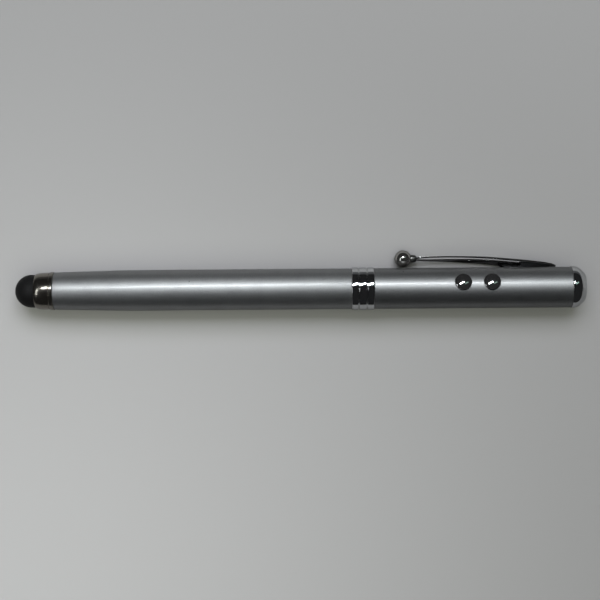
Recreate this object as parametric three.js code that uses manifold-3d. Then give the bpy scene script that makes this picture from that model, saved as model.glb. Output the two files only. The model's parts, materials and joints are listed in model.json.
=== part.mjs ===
// A pen-shaped laser pointer: stylus tip, pull-off lower barrel over a ballpoint, centre ring, and an upper
// barrel with a ball clip, two push buttons, three button cells, a laser and a small light.
// Millimetres. The pen lies along X with its stylus tip at -X, its laser end at +X, +Z up, resting on its
// centre ring and on the ball of its clip, which points to +Y. Places along the pen are measured from the
// very end of the stylus tip. Origin: under the middle of the whole, on the surface it lies on.

import * as THREE from "three";
import { mergeVertices } from "three/addons/utils/BufferGeometryUtils.js";
import Module from "manifold-3d";

const wasm = await Module();
wasm.setup();

// Driving sizes of the outside
const tipLength = 5.0;
const ferruleLength = 3.6;
const collarLength = 1.0;
const lowerBarrelLength = 72.7;
const ringLength = 5.35;
const upperBarrelLength = 48.2;
const bezelLength = 3.4;
const barrelRadius = 5.0;
const barrelWall = 0.5;

// Clearances: a seam is the gap between faces that meet, a fit the gap round what slides or turns
const seam = 0.05;
const fit = 0.05;
const looseFit = 0.1;
const overrun = 1.0;
const mergeDistance = 0.0001;

// Facets round large, middle and small turned pieces
const barrelSides = 36;
const middleSides = 24;
const smallSides = 16;
const curveSteps = 5;

// Places along the pen, from the stylus tip
const ferruleStart = tipLength;
const collarStart = ferruleStart + ferruleLength;
const lowerBarrelStart = collarStart + collarLength;
const ringStart = lowerBarrelStart + lowerBarrelLength;
const upperBarrelStart = ringStart + ringLength;
const bezelStart = upperBarrelStart + upperBarrelLength;
const penLength = bezelStart + bezelLength;
const barrelBore = barrelRadius - barrelWall;

// Lower barrel, tapering over its first length to the collar, and the sleeve inside its mouth
const barrelNarrowing = 0.435;
const barrelEndRadius = barrelRadius - barrelNarrowing;
const taperLength = 20.8;
const taperPowerShare = 1.4;
const linerLength = 15.0;
const linerInset = 1.0;
const linerWall = 0.35;
const linerBore = barrelBore - fit - linerWall;

// Stylus tip and ferrule
const tipRadius = 4.025;
const tipWall = 0.825;
const stubLength = 1.0;
const collarRise = 0.155;
const collarRadius = barrelEndRadius + collarRise;
const collarEdge = 0.12;
const ferruleStep = 0.17;
const ferruleRearRadius = collarRadius - ferruleStep;
const ferruleFlare = 2.4;
const ferruleGroove = 0.15;
const ferruleGrooveDepth = 0.2;
const spigotLength = 3.6;
const spigotWall = 0.815;

// Centre ring
const ringRise = 0.25;
const ringRadius = barrelRadius + ringRise;
const ringWall = 1.1;
const ringBore = ringRadius - ringWall;
const ringEdge = 0.15;
const ringGrooveWidth = 0.26;
const ringGrooveDepth = 0.25;
const ringBandLengths = [1.49, 1.79];

// Pen section, on a seat that the liner slides onto
const seatRadius = linerBore - fit;
const seatStep = 0.15;
const gripRadius = seatRadius - seatStep;
const sectionWall = 0.95;
const sectionBore = gripRadius - sectionWall;

// Connector
const connectorSpigotLength = 9.3;
const connectorSpigotRadius = sectionBore - fit;
const chamberFloor = 0.55;
const cupFloor = 0.55;
const threadLength = 6.0;
const threadRadius = barrelBore - looseFit;
const threadChamfer = 0.3;
const threadWall = 0.8;
const cupRadius = threadRadius - threadWall;

// Refill, which leaves room ahead of its ball in the closed lower barrel, and the nib cone that it looks out of
const penRoom = 10.4;
const refillLength = lowerBarrelLength - penRoom + ringLength - chamberFloor - looseFit;
const refillRadius = 1.175;
const refillWall = 0.32;
const nibReach = 3.6;
const gripGrooves = 5;
const gripGroovePitch = 2.0;
const gripGrooveWidth = 0.8;
const gripGrooveDepth = 0.2;
const gripGrooveInset = 4.0;
const coneLength = 10.4;
const coneNoseRadius = 1.5;
const coneStep = 0.2;
const coneRearRadius = gripRadius - coneStep;
const coneSpigotLength = 5.0;
const writingBallRadius = 0.35;
const pointConeLength = 2.7;
const pointShankLength = 4.0;
const pointPlugLength = 3.0;

// Battery
const sleeveRadius = barrelBore - fit;
const sleeveWall = 0.4;
const cellRadius = sleeveRadius - sleeveWall - looseFit;
const cellLength = 3.6;
const cellCount = 3;
const cellShoulder = 0.85;
const cellButtonRadius = cellRadius - cellShoulder;
const cellButtonLength = 0.35;
const cellEdge = 0.2;
const springWire = 0.2;
const springTurns = 5;
const springMargin = 0.4;
const springBaseRadius = cupRadius - springMargin;
const springTopShare = 0.5;
const springTopRadius = springBaseRadius * springTopShare;
const springStepsPerTurn = 10;
const springSides = 5;
const contactThickness = 0.3;
const contactRadius = 3.0;
const contactTabLength = 2.7;
const contactTabWidth = 1.6;

// Buttons, over the switches, which stand at these shares of the board's length
const buttonPlaceShares = [0.18, 0.607];
const buttonRadius = 1.9;
const buttonGap = 0.15;
const buttonHoleRadius = buttonRadius + buttonGap;
const buttonRise = 0.8;
const buttonFlangeWidth = 0.5;
const buttonFlangeRadius = buttonRadius + buttonFlangeWidth;
const buttonFlangeThickness = 0.5;
const buttonFlangeGap = 0.2;
const plungerRadius = 0.8;
const buttonTravel = 0.5;

// Board and switches. The board has a share of the length between the battery and the bezel, and the laser has
// a share of what is left.
const boardThickness = 0.8;
const boardTop = 0.3;
const boardMargin = 0.15;
const boardLengthShare = 0.618;
const switchSize = [3.5, 3.0];
const switchBodyHeight = 1.3;
const switchKnobHeight = 0.3;
const switchKnobRadius = 0.7;
const resistorSize = [0.8, 1.6, 0.45];
const resistorSpacing = 2.6;

// Module carrier
const carrierGap = 0.15;
const carrierRadius = barrelBore - carrierGap;
const carrierWall = 1.0;
const carrierLedge = 1.0;
const troughDepthShare = 0.6;
const troughDepth = carrierRadius * troughDepthShare;
const troughEndWall = 0.6;
const noseGap = 0.45;

// Bezel and aperture plate
const bezelRise = 0.1;
const bezelRadius = barrelRadius + bezelRise;
const bezelStep = 0.7;
const bezelRimShare = 0.657;
const bezelRimRadius = bezelRadius * bezelRimShare;
const bezelRimWall = 0.25;
const bezelMouthRadius = bezelRimRadius - bezelRimWall;
const bezelSpigotLength = 3.0;
const bezelSpigotWall = 0.6;
const bezelPocketRadius = barrelBore - fit - bezelSpigotWall;
const plateThickness = 0.8;
const plateDepth = 1.4;
const laserOpeningRadius = 0.6;

// Laser module and light, one above the other behind the bezel's mouth
const laserHeightShare = 0.416;
const laserHeight = bezelPocketRadius * laserHeightShare;
const laserHousingShare = 0.52;
const laserHousingRadius = bezelPocketRadius * laserHousingShare;
const laserHousingWall = 0.45;
const laserLengthShare = 0.65;
const laserInset = 0.4;
const diodeLength = 2.2;
const diodeInset = 0.3;
const lensLength = 1.4;
const lensEdge = 0.5;
const lensInset = 0.5;
const beamRadius = 0.8;
const ledShare = 0.484;
const ledRadius = bezelMouthRadius * ledShare;
const lightDrop = bezelMouthRadius - ledRadius - looseFit;
const ledFlangeWidth = 0.3;
const ledFlangeRadius = ledRadius + ledFlangeWidth;
const ledFlangeLength = 1.0;
const ledBodyLength = 3.4;
const leadRadius = 0.18;
const leadSpacing = 1.27;
const leadSides = 6;
const leadRun = 2.0;
const leadBend = 1.4;
const legChannel = [3.4, 1.3];

// Clip: a strip lofted along its length, its shape given as shares of its largest rise, half width and depth
const clipBallRadius = 2.12;
const clipBallGap = 0.5;
const clipBallInset = 7.4;
const clipTipInset = 3.35;
const clipRise = 3.0;
const clipHalfWidth = 2.4;
const clipDepth = 1.22;
const clipSheet = 0.35;
const clipRail = 0.4;
const clipSlotHalfWidth = 1.05;
const clipNeckPin = 1.1;
const clipNeckPinRadius = 0.5;
const clipNeckLength = 1.2;
const clipNeckRadius = 1.0;
const clipSlotInset = 1.3;
const clipTongueLength = 7.4;
const clipSlotEnd = 1.2;
const clipPivotShare = 0.63;
const clipStations = 20;
const clipAcross = 8;
const clipShares = [
  [0, 0.93, 0.23, 0.37],
  [0.05, 0.95, 0.46, 0.43],
  [0.13, 0.97, 0.61, 0.475],
  [0.27, 0.995, 0.765, 0.6],
  [0.4, 0.99, 0.88, 0.77],
  [0.5, 0.955, 0.945, 0.88],
  [0.6, 0.87, 0.99, 0.98],
  [0.7, 0.755, 1, 1],
  [0.8, 0.63, 0.91, 0.85],
  [0.9, 0.485, 0.66, 0.62],
  [0.97, 0.345, 0.37, 0.46],
  [1, 0.23, 0.14, 0.385],
];
const footLength = 7.2;
const footInset = 0.5;
const footWidthShare = 0.78;
const footFloor = 0.7;
const tabLength = 4.2;
const tabWidth = 1.6;
const anchorThickness = 0.55;
const anchorWidth = 2.6;
const anchorMargin = 0.6;
const anchorInset = 0.3;

// The clip's ball rests on the same surface as the ring, which fixes how far the pen is rolled. It stands off
// the barrel by a thin gap, so that a pocket's edge slips in
const axisHeight = ringRadius * Math.cos(Math.PI / barrelSides);
const clipBallOffset = barrelRadius + clipBallGap + clipBallRadius;
const roll = Math.asin((axisHeight - clipBallRadius) / clipBallOffset);

// Colours and finishes
const paint = (color, roughness, metalness) => new THREE.MeshStandardMaterial({ color, roughness, metalness });
const rubberBlack = paint(0x17171a, 0.75, 0);
const satinSilver = paint(0xb9bbbe, 0.38, 0.9);
const chrome = paint(0xd8dadc, 0.08, 1);
const darkChrome = paint(0x9c9894, 0.14, 1);
const steel = paint(0xb4b4b2, 0.3, 1);
const brass = paint(0xc8a452, 0.3, 1);
const blackPlastic = paint(0x1b1b1d, 0.5, 0);
const whitePlastic = paint(0xdcdcd6, 0.5, 0);
const boardGreen = paint(0x1f5a36, 0.5, 0);
const clearLens = paint(0xdfe8ee, 0.05, 0);

// A solid for joining and cutting, from a closed geometry
function solid(geometry) {
  const bare = geometry.clone();
  bare.deleteAttribute("normal");
  bare.deleteAttribute("uv");
  const merged = mergeVertices(bare, mergeDistance);
  const index = merged.index.array;
  const kept = [];
  for (let i = 0; i < index.length; i += 3) {
    const [a, b, c] = [index[i], index[i + 1], index[i + 2]];
    if (a !== b && b !== c && c !== a) kept.push(a, b, c);
  }
  return new wasm.Manifold(
    new wasm.Mesh({
      numProp: 3,
      vertProperties: merged.attributes.position.array,
      triVerts: new Uint32Array(kept),
    }),
  );
}

// Back from a solid to a geometry with flat shading
function geometryOf(shape) {
  const mesh = shape.getMesh();
  const geometry = new THREE.BufferGeometry();
  geometry.setAttribute("position", new THREE.BufferAttribute(new Float32Array(mesh.vertProperties), 3));
  geometry.setIndex(Array.from(mesh.triVerts));
  const flat = geometry.toNonIndexed();
  flat.computeVertexNormals();
  return flat;
}

const join = (first, ...others) => geometryOf(others.reduce((sum, one) => sum.add(solid(one)), solid(first)));
const cut = (first, ...others) => geometryOf(others.reduce((sum, one) => sum.subtract(solid(one)), solid(first)));

// A body turned about X. The outline is a list of [place along X, radius]; it starts and ends on the axis,
// or else it is a closed loop. A flat facet faces straight down.
function turned(outline, sides = barrelSides) {
  const onAxis = outline[0][1] === 0 && outline[outline.length - 1][1] === 0;
  const loop = onAxis ? outline : [...outline, outline[0]];
  let area = 0;
  for (let i = 0; i < loop.length; i += 1) {
    const [x0, r0] = loop[i];
    const [x1, r1] = loop[(i + 1) % loop.length];
    area += r0 * x1 - r1 * x0;
  }
  const points = loop.map(([x, r]) => new THREE.Vector2(r, x));
  if (area < 0) points.reverse();
  const geometry = new THREE.LatheGeometry(points, sides, Math.PI / sides);
  return geometry.rotateZ(-Math.PI / 2);
}

// Points of a curve from one [place, radius] to another along a quarter of an ellipse, bulging outwards
function quarter([x0, r0], [x1, r1], steps = curveSteps) {
  const points = [];
  for (let i = 0; i <= steps; i += 1) {
    const angle = (Math.PI / 2) * (i / steps);
    points.push(
      r1 > r0
        ? [x1 + (x0 - x1) * Math.cos(angle), r0 + (r1 - r0) * Math.sin(angle)]
        : [x0 + (x1 - x0) * Math.sin(angle), r1 + (r0 - r1) * Math.cos(angle)],
    );
  }
  return points;
}

// A tube between two places along the pen
const tube = (from, to, inner, outer, sides = barrelSides) =>
  turned([[from, inner], [from, outer], [to, outer], [to, inner]], sides);

// A rod between two places along the pen, with its axis raised along Z
function rod(from, to, radius, raised = 0, sides = middleSides) {
  return turned([[from, 0], [from, radius], [to, radius], [to, 0]], sides).translate(0, 0, raised);
}

// A box given by its limits along X, Y and Z
function block([x0, x1], [y0, y1], [z0, z1]) {
  const box = new THREE.BoxGeometry(x1 - x0, y1 - y0, z1 - z0);
  return box.translate((x0 + x1) / 2, (y0 + y1) / 2, (z0 + z1) / 2);
}

// A round wire along a curve
function wire(curve, radius, steps, sides) {
  const section = new THREE.Shape();
  for (let i = 0; i < sides; i += 1) {
    const angle = (2 * Math.PI * i) / sides;
    const point = [radius * Math.cos(angle), radius * Math.sin(angle)];
    if (i === 0) section.moveTo(...point);
    else section.lineTo(...point);
  }
  section.closePath();
  return new THREE.ExtrudeGeometry(section, { steps, extrudePath: curve, curveSegments: sides });
}

// A straight-sided path with short bends, as a curve
function bentPath(places) {
  const path = new THREE.CurvePath();
  const points = places.map((place) => new THREE.Vector3(...place));
  for (let i = 1; i < points.length; i += 1) {
    path.add(new THREE.LineCurve3(points[i - 1], points[i]));
  }
  return new THREE.CatmullRomCurve3(path.getSpacedPoints(leadSides * places.length));
}

// The whole pen, and inside it what is rolled so that the buttons face up and the ball meets the surface
const part = new THREE.Group();
const pen = new THREE.Group();
const rolled = new THREE.Group();
rolled.rotation.x = -roll;
pen.add(rolled);
part.add(pen);

function add(parent, name, geometry, material) {
  const mesh = new THREE.Mesh(geometry, material);
  mesh.name = name;
  parent.add(mesh);
  return mesh;
}

// Stylus tip: a hollow rubber dome, open at the back
const tipBore = tipRadius - tipWall;
add(
  pen,
  "stylus_tip",
  turned([
    ...quarter([0, 0], [tipLength - stubLength, tipRadius]),
    [tipLength - seam, tipRadius],
    [tipLength - seam, tipBore],
    ...quarter([tipWall, 0], [tipLength - stubLength, tipBore]).reverse(),
  ]),
  rubberBlack,
);

// Ferrule: a stub inside the rubber, the swelling, a groove, the collar, and a hollow spigot in the barrel
const spigotRadius = barrelEndRadius - barrelWall - fit;
const spigotEnd = lowerBarrelStart + spigotLength;
const ferruleBore = spigotRadius - spigotWall;
add(
  pen,
  "stylus_ferrule",
  turned([
    [ferruleStart - stubLength, 0],
    [ferruleStart - stubLength, tipBore - fit],
    [ferruleStart, tipBore - fit],
    ...quarter([ferruleStart, tipRadius], [ferruleStart + ferruleFlare, ferruleRearRadius]),
    [collarStart - ferruleGroove, ferruleRearRadius],
    [collarStart - ferruleGroove, ferruleRearRadius - ferruleGrooveDepth],
    [collarStart, ferruleRearRadius - ferruleGrooveDepth],
    [collarStart, collarRadius - collarEdge],
    [collarStart + collarEdge, collarRadius],
    [lowerBarrelStart - collarEdge, collarRadius],
    [lowerBarrelStart, collarRadius - collarEdge],
    [lowerBarrelStart, spigotRadius],
    [spigotEnd, spigotRadius],
    [spigotEnd, ferruleBore],
    [collarStart, ferruleBore],
    [collarStart, 0],
  ]),
  darkChrome,
);

// Lower barrel: a tube of even wall that tapers to the collar
function taperedSide(offset, steps) {
  const side = [];
  for (let i = 0; i <= steps; i += 1) {
    const along = i / steps;
    const narrowing = (barrelRadius - barrelEndRadius) * (1 - along) ** taperPowerShare;
    side.push([lowerBarrelStart + seam + (taperLength - seam) * along, barrelRadius - narrowing - offset]);
  }
  return side;
}
const lowerBarrelEnd = ringStart - seam;
add(
  pen,
  "lower_barrel",
  turned([
    ...taperedSide(0, curveSteps),
    [lowerBarrelEnd, barrelRadius],
    [lowerBarrelEnd, barrelBore],
    ...taperedSide(barrelWall, curveSteps).reverse(),
  ]),
  satinSilver,
);

// Sleeve in the mouth of the lower barrel, which grips the rear of the pen section
const linerEnd = lowerBarrelEnd - linerInset;
add(pen, "cap_liner", tube(linerEnd - linerLength, linerEnd, linerBore, barrelBore - fit), whitePlastic);

// Centre ring: three bands between two grooves, with small edges
const grooveStarts = ringBandLengths.map(
  (_, i) => ringStart + ringBandLengths.slice(0, i + 1).reduce((sum, one) => sum + one, 0) + i * ringGrooveWidth,
);
const ringEnd = upperBarrelStart;
const ringOutline = [
  [ringStart, ringBore],
  [ringStart, ringRadius - ringEdge],
  [ringStart + ringEdge, ringRadius],
];
for (const start of grooveStarts) {
  ringOutline.push([start, ringRadius], [start, ringRadius - ringGrooveDepth]);
  ringOutline.push([start + ringGrooveWidth, ringRadius - ringGrooveDepth], [start + ringGrooveWidth, ringRadius]);
}
ringOutline.push([ringEnd - ringEdge, ringRadius], [ringEnd, ringRadius - ringEdge], [ringEnd, ringBore]);
add(pen, "centre_ring", turned(ringOutline), chrome);

// Connector: a spigot for the section with the refill's chamber, a seat for the ring, and the battery thread
const threadEnd = upperBarrelStart + threadLength;
const connectorStart = ringStart - connectorSpigotLength;
const chamberEnd = upperBarrelStart - chamberFloor;
const cupStart = upperBarrelStart + cupFloor;
const chamberRadius = refillRadius + looseFit;
add(
  pen,
  "connector",
  turned([
    [connectorStart, chamberRadius],
    [connectorStart, connectorSpigotRadius],
    [ringStart, connectorSpigotRadius],
    [ringStart, ringBore - fit],
    [upperBarrelStart + seam, ringBore - fit],
    [upperBarrelStart + seam, threadRadius],
    [threadEnd - threadChamfer, threadRadius],
    [threadEnd, threadRadius - threadChamfer],
    [threadEnd, cupRadius],
    [cupStart, cupRadius],
    [cupStart, 0],
    [chamberEnd, 0],
    [chamberEnd, chamberRadius],
  ]),
  steel,
);

// Pen section: the grip with its grooves, and the wider seat. It reaches to the cone that holds the refill's tip.
const refillEnd = chamberEnd - looseFit;
const refillTip = refillEnd - refillLength;
const coneStart = refillTip + nibReach;
const sectionStart = coneStart + coneLength;
const sectionEnd = ringStart - seam;
const seatStart = linerEnd - linerLength;
const gripOutline = [
  [sectionStart, sectionBore],
  [sectionStart, gripRadius],
];
for (let i = 0; i < gripGrooves; i += 1) {
  const start = sectionStart + gripGrooveInset + i * gripGroovePitch;
  gripOutline.push([start, gripRadius], [start + gripGrooveWidth / 2, gripRadius - gripGrooveDepth]);
  gripOutline.push([start + gripGrooveWidth, gripRadius]);
}
gripOutline.push([seatStart, gripRadius], [seatStart + seatStep, seatRadius]);
gripOutline.push([sectionEnd, seatRadius], [sectionEnd, sectionBore]);
add(pen, "pen_section", turned(gripOutline), blackPlastic);

// Nib cone: curved, with a spigot inside the section
const coneBore = refillRadius + fit;
add(
  pen,
  "nib_cone",
  turned([
    [coneStart, coneBore],
    ...quarter([coneStart, coneNoseRadius], [sectionStart - seam, coneRearRadius]),
    [sectionStart - seam, sectionBore - fit],
    [sectionStart + coneSpigotLength, sectionBore - fit],
    [sectionStart + coneSpigotLength, coneBore],
  ]),
  chrome,
);

// Refill: a metal tube, its point with a plug in the tube, and the writing ball
const pointStart = refillTip + 2 * writingBallRadius + fit;
const pointShankStart = pointStart + pointConeLength;
const pointShankEnd = pointShankStart + pointShankLength;
const refillBore = refillRadius - refillWall;
add(
  pen,
  "refill_tube",
  tube(pointShankEnd + seam, refillEnd, refillBore, refillRadius, smallSides),
  brass,
);
add(
  pen,
  "refill_point",
  turned(
    [
      [pointStart, 0],
      [pointStart, writingBallRadius + fit],
      [pointShankStart, refillRadius],
      [pointShankEnd, refillRadius],
      [pointShankEnd, refillBore - fit],
      [pointShankEnd + pointPlugLength, refillBore - fit],
      [pointShankEnd + pointPlugLength, 0],
    ],
    smallSides,
  ),
  steel,
);
const writingBall = new THREE.SphereGeometry(writingBallRadius, smallSides, smallSides / 2);
add(pen, "writing_ball", writingBall.translate(refillTip + writingBallRadius, 0, 0), steel);

// Button cells in a row, each with its narrower negative side to the spring, and the sleeve round them
const springEnd = threadEnd + seam;
const cellsStart = springEnd + seam * 2;
const cellPitch = cellLength + seam;
for (let i = 0; i < cellCount; i += 1) {
  const start = cellsStart + i * cellPitch;
  const end = start + cellLength;
  const outline = [
    [start, 0],
    [start, cellButtonRadius],
    [start + cellButtonLength, cellButtonRadius],
    [start + cellButtonLength, cellRadius - cellEdge],
    [start + cellButtonLength + cellEdge, cellRadius],
    [end - cellEdge, cellRadius],
    [end, cellRadius - cellEdge],
    [end, 0],
  ];
  add(rolled, `button_cell_${i + 1}`, turned(outline), steel);
}
const cellsEnd = cellsStart + cellCount * cellPitch - seam;
add(
  rolled,
  "battery_sleeve",
  tube(threadEnd + seam, cellsEnd, sleeveRadius - sleeveWall, sleeveRadius),
  whitePlastic,
);

// Battery spring: a conical helix from the floor of the cup to the first cell
class ConeHelix extends THREE.Curve {
  getPoint(share, target = new THREE.Vector3()) {
    const angle = 2 * Math.PI * springTurns * share;
    const radius = springBaseRadius + (springTopRadius - springBaseRadius) * share;
    const low = cupStart + seam + springWire;
    const high = cellsStart - seam - springWire;
    return target.set(low + (high - low) * share, radius * Math.cos(angle), radius * Math.sin(angle));
  }
}
add(
  pen,
  "battery_spring",
  wire(new ConeHelix(), springWire, springTurns * springStepsPerTurn, springSides),
  steel,
);

// The length between the battery and the bezel's spigot, and what the board and the laser take of it
const contactStart = cellsEnd + seam;
const contactEnd = contactStart + contactThickness;
const carrierStart = contactEnd + seam;
const boardStart = carrierStart + carrierWall + looseFit;
const noseStart = bezelStart - bezelSpigotLength - looseFit;
const boardLength = (noseStart - boardStart) * boardLengthShare;
const boardEnd = boardStart + boardLength;
const laserHousingLength = (noseStart - boardEnd) * laserLengthShare;

// Upper barrel: a tube with a hole for each button and a slot for the clip's tab
const buttonPlaces = buttonPlaceShares.map((share) => boardStart + boardLength * share);
const clipStart = upperBarrelStart + clipBallInset + clipBallRadius;
const clipLength = bezelStart - clipTipInset - clipStart;
const clipPivot = clipStart + clipLength * clipPivotShare;
const tabStart = clipPivot + footInset + (footLength - tabLength) / 2;
const tabEnd = tabStart + tabLength;
const upright = (geometry, x) => geometry.rotateX(Math.PI / 2).translate(x, 0, 0);
const buttonHoles = buttonPlaces.map((x) => {
  const drill = new THREE.CylinderGeometry(buttonHoleRadius, buttonHoleRadius, barrelRadius + overrun, smallSides);
  return upright(drill.translate(0, (barrelRadius + overrun) / 2, 0), x);
});
const tabHole = block(
  [tabStart - looseFit, tabEnd + looseFit],
  [barrelBore / 2, barrelRadius + overrun],
  [-tabWidth / 2 - looseFit, tabWidth / 2 + looseFit],
);
add(
  rolled,
  "upper_barrel",
  cut(
    tube(upperBarrelStart + seam, bezelStart - seam, barrelBore, barrelRadius),
    ...buttonHoles,
    tabHole,
  ),
  satinSilver,
);

// Buttons: a dome on a stem, a flange under the barrel's wall, and a plunger over the switch
const switchTop = boardTop + seam + switchBodyHeight + switchKnobHeight;
const plungerBottom = switchTop + buttonTravel + fit;
const flangeTop = Math.sqrt(barrelBore ** 2 - buttonFlangeRadius ** 2) - buttonFlangeGap;
const domeFoot = barrelRadius;
const buttonOutline = [
  [plungerBottom, 0],
  [plungerBottom, plungerRadius],
  [flangeTop - buttonFlangeThickness, plungerRadius],
  [flangeTop - buttonFlangeThickness, buttonFlangeRadius],
  [flangeTop, buttonFlangeRadius],
  [flangeTop, buttonRadius],
  ...quarter([domeFoot, buttonRadius], [domeFoot + buttonRise, 0]),
];
["laser_button", "light_button"].forEach((name, i) => {
  const standing = turned(buttonOutline, middleSides).rotateY(-Math.PI / 2);
  add(rolled, name, standing.translate(buttonPlaces[i], 0, 0), chrome);
});

// Positive contact: a disc against the last cell, with a tab that runs under the board
const boardBottom = boardTop - boardThickness;
const tabTop = boardBottom - looseFit;
add(
  rolled,
  "positive_contact",
  join(
    rod(contactStart, contactEnd, contactRadius),
    block(
      [contactStart, contactEnd + contactTabLength],
      [-contactTabWidth / 2, contactTabWidth / 2],
      [tabTop - contactThickness, tabTop],
    ),
  ),
  brass,
);

// Circuit board with its two switches and two resistors
const anchorTop = barrelBore - anchorInset;
const boardWidth = 2 * (anchorTop - anchorThickness - boardMargin);
add(
  rolled,
  "circuit_board",
  block([boardStart, boardEnd], [-boardWidth / 2, boardWidth / 2], [boardBottom, boardTop]),
  boardGreen,
);
["laser_switch", "light_switch"].forEach((name, i) => {
  const x = buttonPlaces[i];
  const [along, across] = switchSize;
  const bodyTop = boardTop + seam + switchBodyHeight;
  const body = block(
    [x - along / 2, x + along / 2],
    [-across / 2, across / 2],
    [boardTop + seam, bodyTop],
  );
  const knobHeight = switchKnobHeight + switchBodyHeight / 2;
  const knob = new THREE.CylinderGeometry(switchKnobRadius, switchKnobRadius, knobHeight, smallSides);
  const knobMiddle = bodyTop + switchKnobHeight - knobHeight / 2;
  add(rolled, name, join(body, upright(knob, x).translate(0, 0, knobMiddle)), blackPlastic);
});
["laser_resistor", "light_resistor"].forEach((name, i) => {
  const [along, across, high] = resistorSize;
  const x = (buttonPlaces[0] + buttonPlaces[1]) / 2;
  const y = (i - 1 / 2) * resistorSpacing;
  const body = block(
    [x - along / 2, x + along / 2],
    [y - across / 2, y + across / 2],
    [boardTop + seam, boardTop + seam + high],
  );
  add(rolled, name, body, blackPlastic);
});

// Module carrier: a trough under the board, then a block that holds the laser and the light
const blockStart = boardEnd + looseFit;
const plateStart = bezelStart + plateDepth - plateThickness - seam;
const noseEnd = plateStart - noseGap;
const noseRadius = bezelPocketRadius - fit;
const ledgeTop = boardBottom - seam;
const troughBottom = ledgeTop - troughDepth;
const troughHalf = boardWidth / 2 - carrierLedge / 2;
const laserStart = blockStart + laserInset;
const laserEnd = laserStart + laserHousingLength;
const ledStart = plateStart - ledFlangeLength - ledBodyLength - seam;
const carrierBody = [
  rod(carrierStart, noseStart, carrierRadius, 0, barrelSides),
  rod(noseStart - overrun, noseEnd, noseRadius, 0, barrelSides),
];
const carrierCuts = [
  block(
    [carrierStart - overrun, blockStart],
    [-barrelRadius, barrelRadius],
    [flangeTop - buttonFlangeThickness - looseFit, barrelRadius],
  ),
  block(
    [carrierStart + carrierWall, blockStart],
    [-barrelRadius, barrelRadius],
    [ledgeTop, barrelRadius],
  ),
  block(
    [carrierStart + carrierWall, blockStart - troughEndWall],
    [-troughHalf, troughHalf],
    [troughBottom, boardTop],
  ),
  block(
    [carrierStart - overrun, carrierStart + carrierWall + overrun],
    [-contactTabWidth / 2 - looseFit, contactTabWidth / 2 + looseFit],
    [tabTop - contactThickness - looseFit, ledgeTop + looseFit],
  ),
  rod(blockStart - overrun, laserEnd + looseFit, laserHousingRadius + fit, laserHeight),
  rod(laserEnd - overrun, noseEnd + overrun, beamRadius, laserHeight, smallSides),
  rod(ledStart - looseFit, noseEnd + overrun, ledFlangeRadius + fit, -lightDrop),
  block(
    [blockStart - troughEndWall - overrun, ledStart],
    [-legChannel[0] / 2, legChannel[0] / 2],
    [-lightDrop - legChannel[1] / 2, -lightDrop + legChannel[1] / 2],
  ),
  block(
    [tabStart - anchorMargin - looseFit, tabEnd + anchorMargin + looseFit],
    [anchorTop - anchorThickness - looseFit, barrelRadius],
    [-anchorWidth / 2 - looseFit, anchorWidth / 2 + looseFit],
  ),
];
const carrierShape = carrierCuts.reduce(
  (rest, one) => rest.subtract(solid(one)),
  solid(carrierBody[0]).add(solid(carrierBody[1])),
);
add(rolled, "module_carrier", geometryOf(carrierShape), blackPlastic);

// Laser: a brass tube with the diode at its back and the collimating lens at its front
const laserBore = laserHousingRadius - laserHousingWall;
const raise = (geometry) => geometry.translate(0, 0, laserHeight);
add(
  rolled,
  "laser_housing",
  raise(tube(laserStart, laserEnd, laserBore, laserHousingRadius, middleSides)),
  brass,
);
const diodeStart = laserStart + diodeInset;
const leadRise = boardTop + seam + leadRadius;
const leads = [-1, 1].map((side) =>
  wire(
    bentPath([
      [diodeStart + leadRadius, (side * leadSpacing) / 2, laserHeight],
      [diodeStart - diodeInset, (side * leadSpacing) / 2, laserHeight],
      [boardEnd - leadRadius, (side * leadSpacing) / 2, leadRise],
      [boardEnd - leadRun, (side * leadSpacing) / 2, leadRise],
    ]),
    leadRadius,
    leadSides * 2,
    leadSides,
  ),
);
add(
  rolled,
  "laser_diode",
  join(rod(diodeStart, diodeStart + diodeLength, laserBore - fit, laserHeight), ...leads),
  steel,
);
const lensEnd = laserEnd - lensInset;
const lensMiddle = lensEnd - lensLength / 2;
add(
  rolled,
  "laser_lens",
  raise(
    turned(
      [
        ...quarter([lensEnd - lensLength, 0], [lensMiddle - lensEdge / 2, laserBore - fit]),
        ...quarter([lensMiddle + lensEdge / 2, laserBore - fit], [lensEnd, 0]),
      ],
      middleSides,
    ),
  ),
  clearLens,
);

// Light: a domed LED with its flange, and two legs that run under the board
const ledBodyStart = ledStart + ledFlangeLength;
const ledDomeStart = ledBodyStart + ledBodyLength;
const ledBody = turned(
  [
    [ledStart, 0],
    [ledStart, ledFlangeRadius],
    [ledBodyStart, ledFlangeRadius],
    [ledBodyStart, ledRadius],
    ...quarter([ledDomeStart, ledRadius], [ledDomeStart + ledRadius, 0]),
  ],
  middleSides,
).translate(0, 0, -lightDrop);
const legRise = boardBottom - seam - leadRadius;
const legs = [-1, 1].map((side) =>
  wire(
    bentPath([
      [ledStart + leadRadius, side * leadSpacing, -lightDrop],
      [blockStart - troughEndWall - leadRadius, side * leadSpacing, -lightDrop],
      [blockStart - troughEndWall - leadBend, side * leadSpacing, legRise],
      [blockStart - troughEndWall - leadBend - leadRun, side * leadSpacing, legRise],
    ]),
    leadRadius,
    leadSides * 3,
    leadSides,
  ),
);
add(rolled, "light_led", join(ledBody, ...legs), clearLens);

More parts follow.
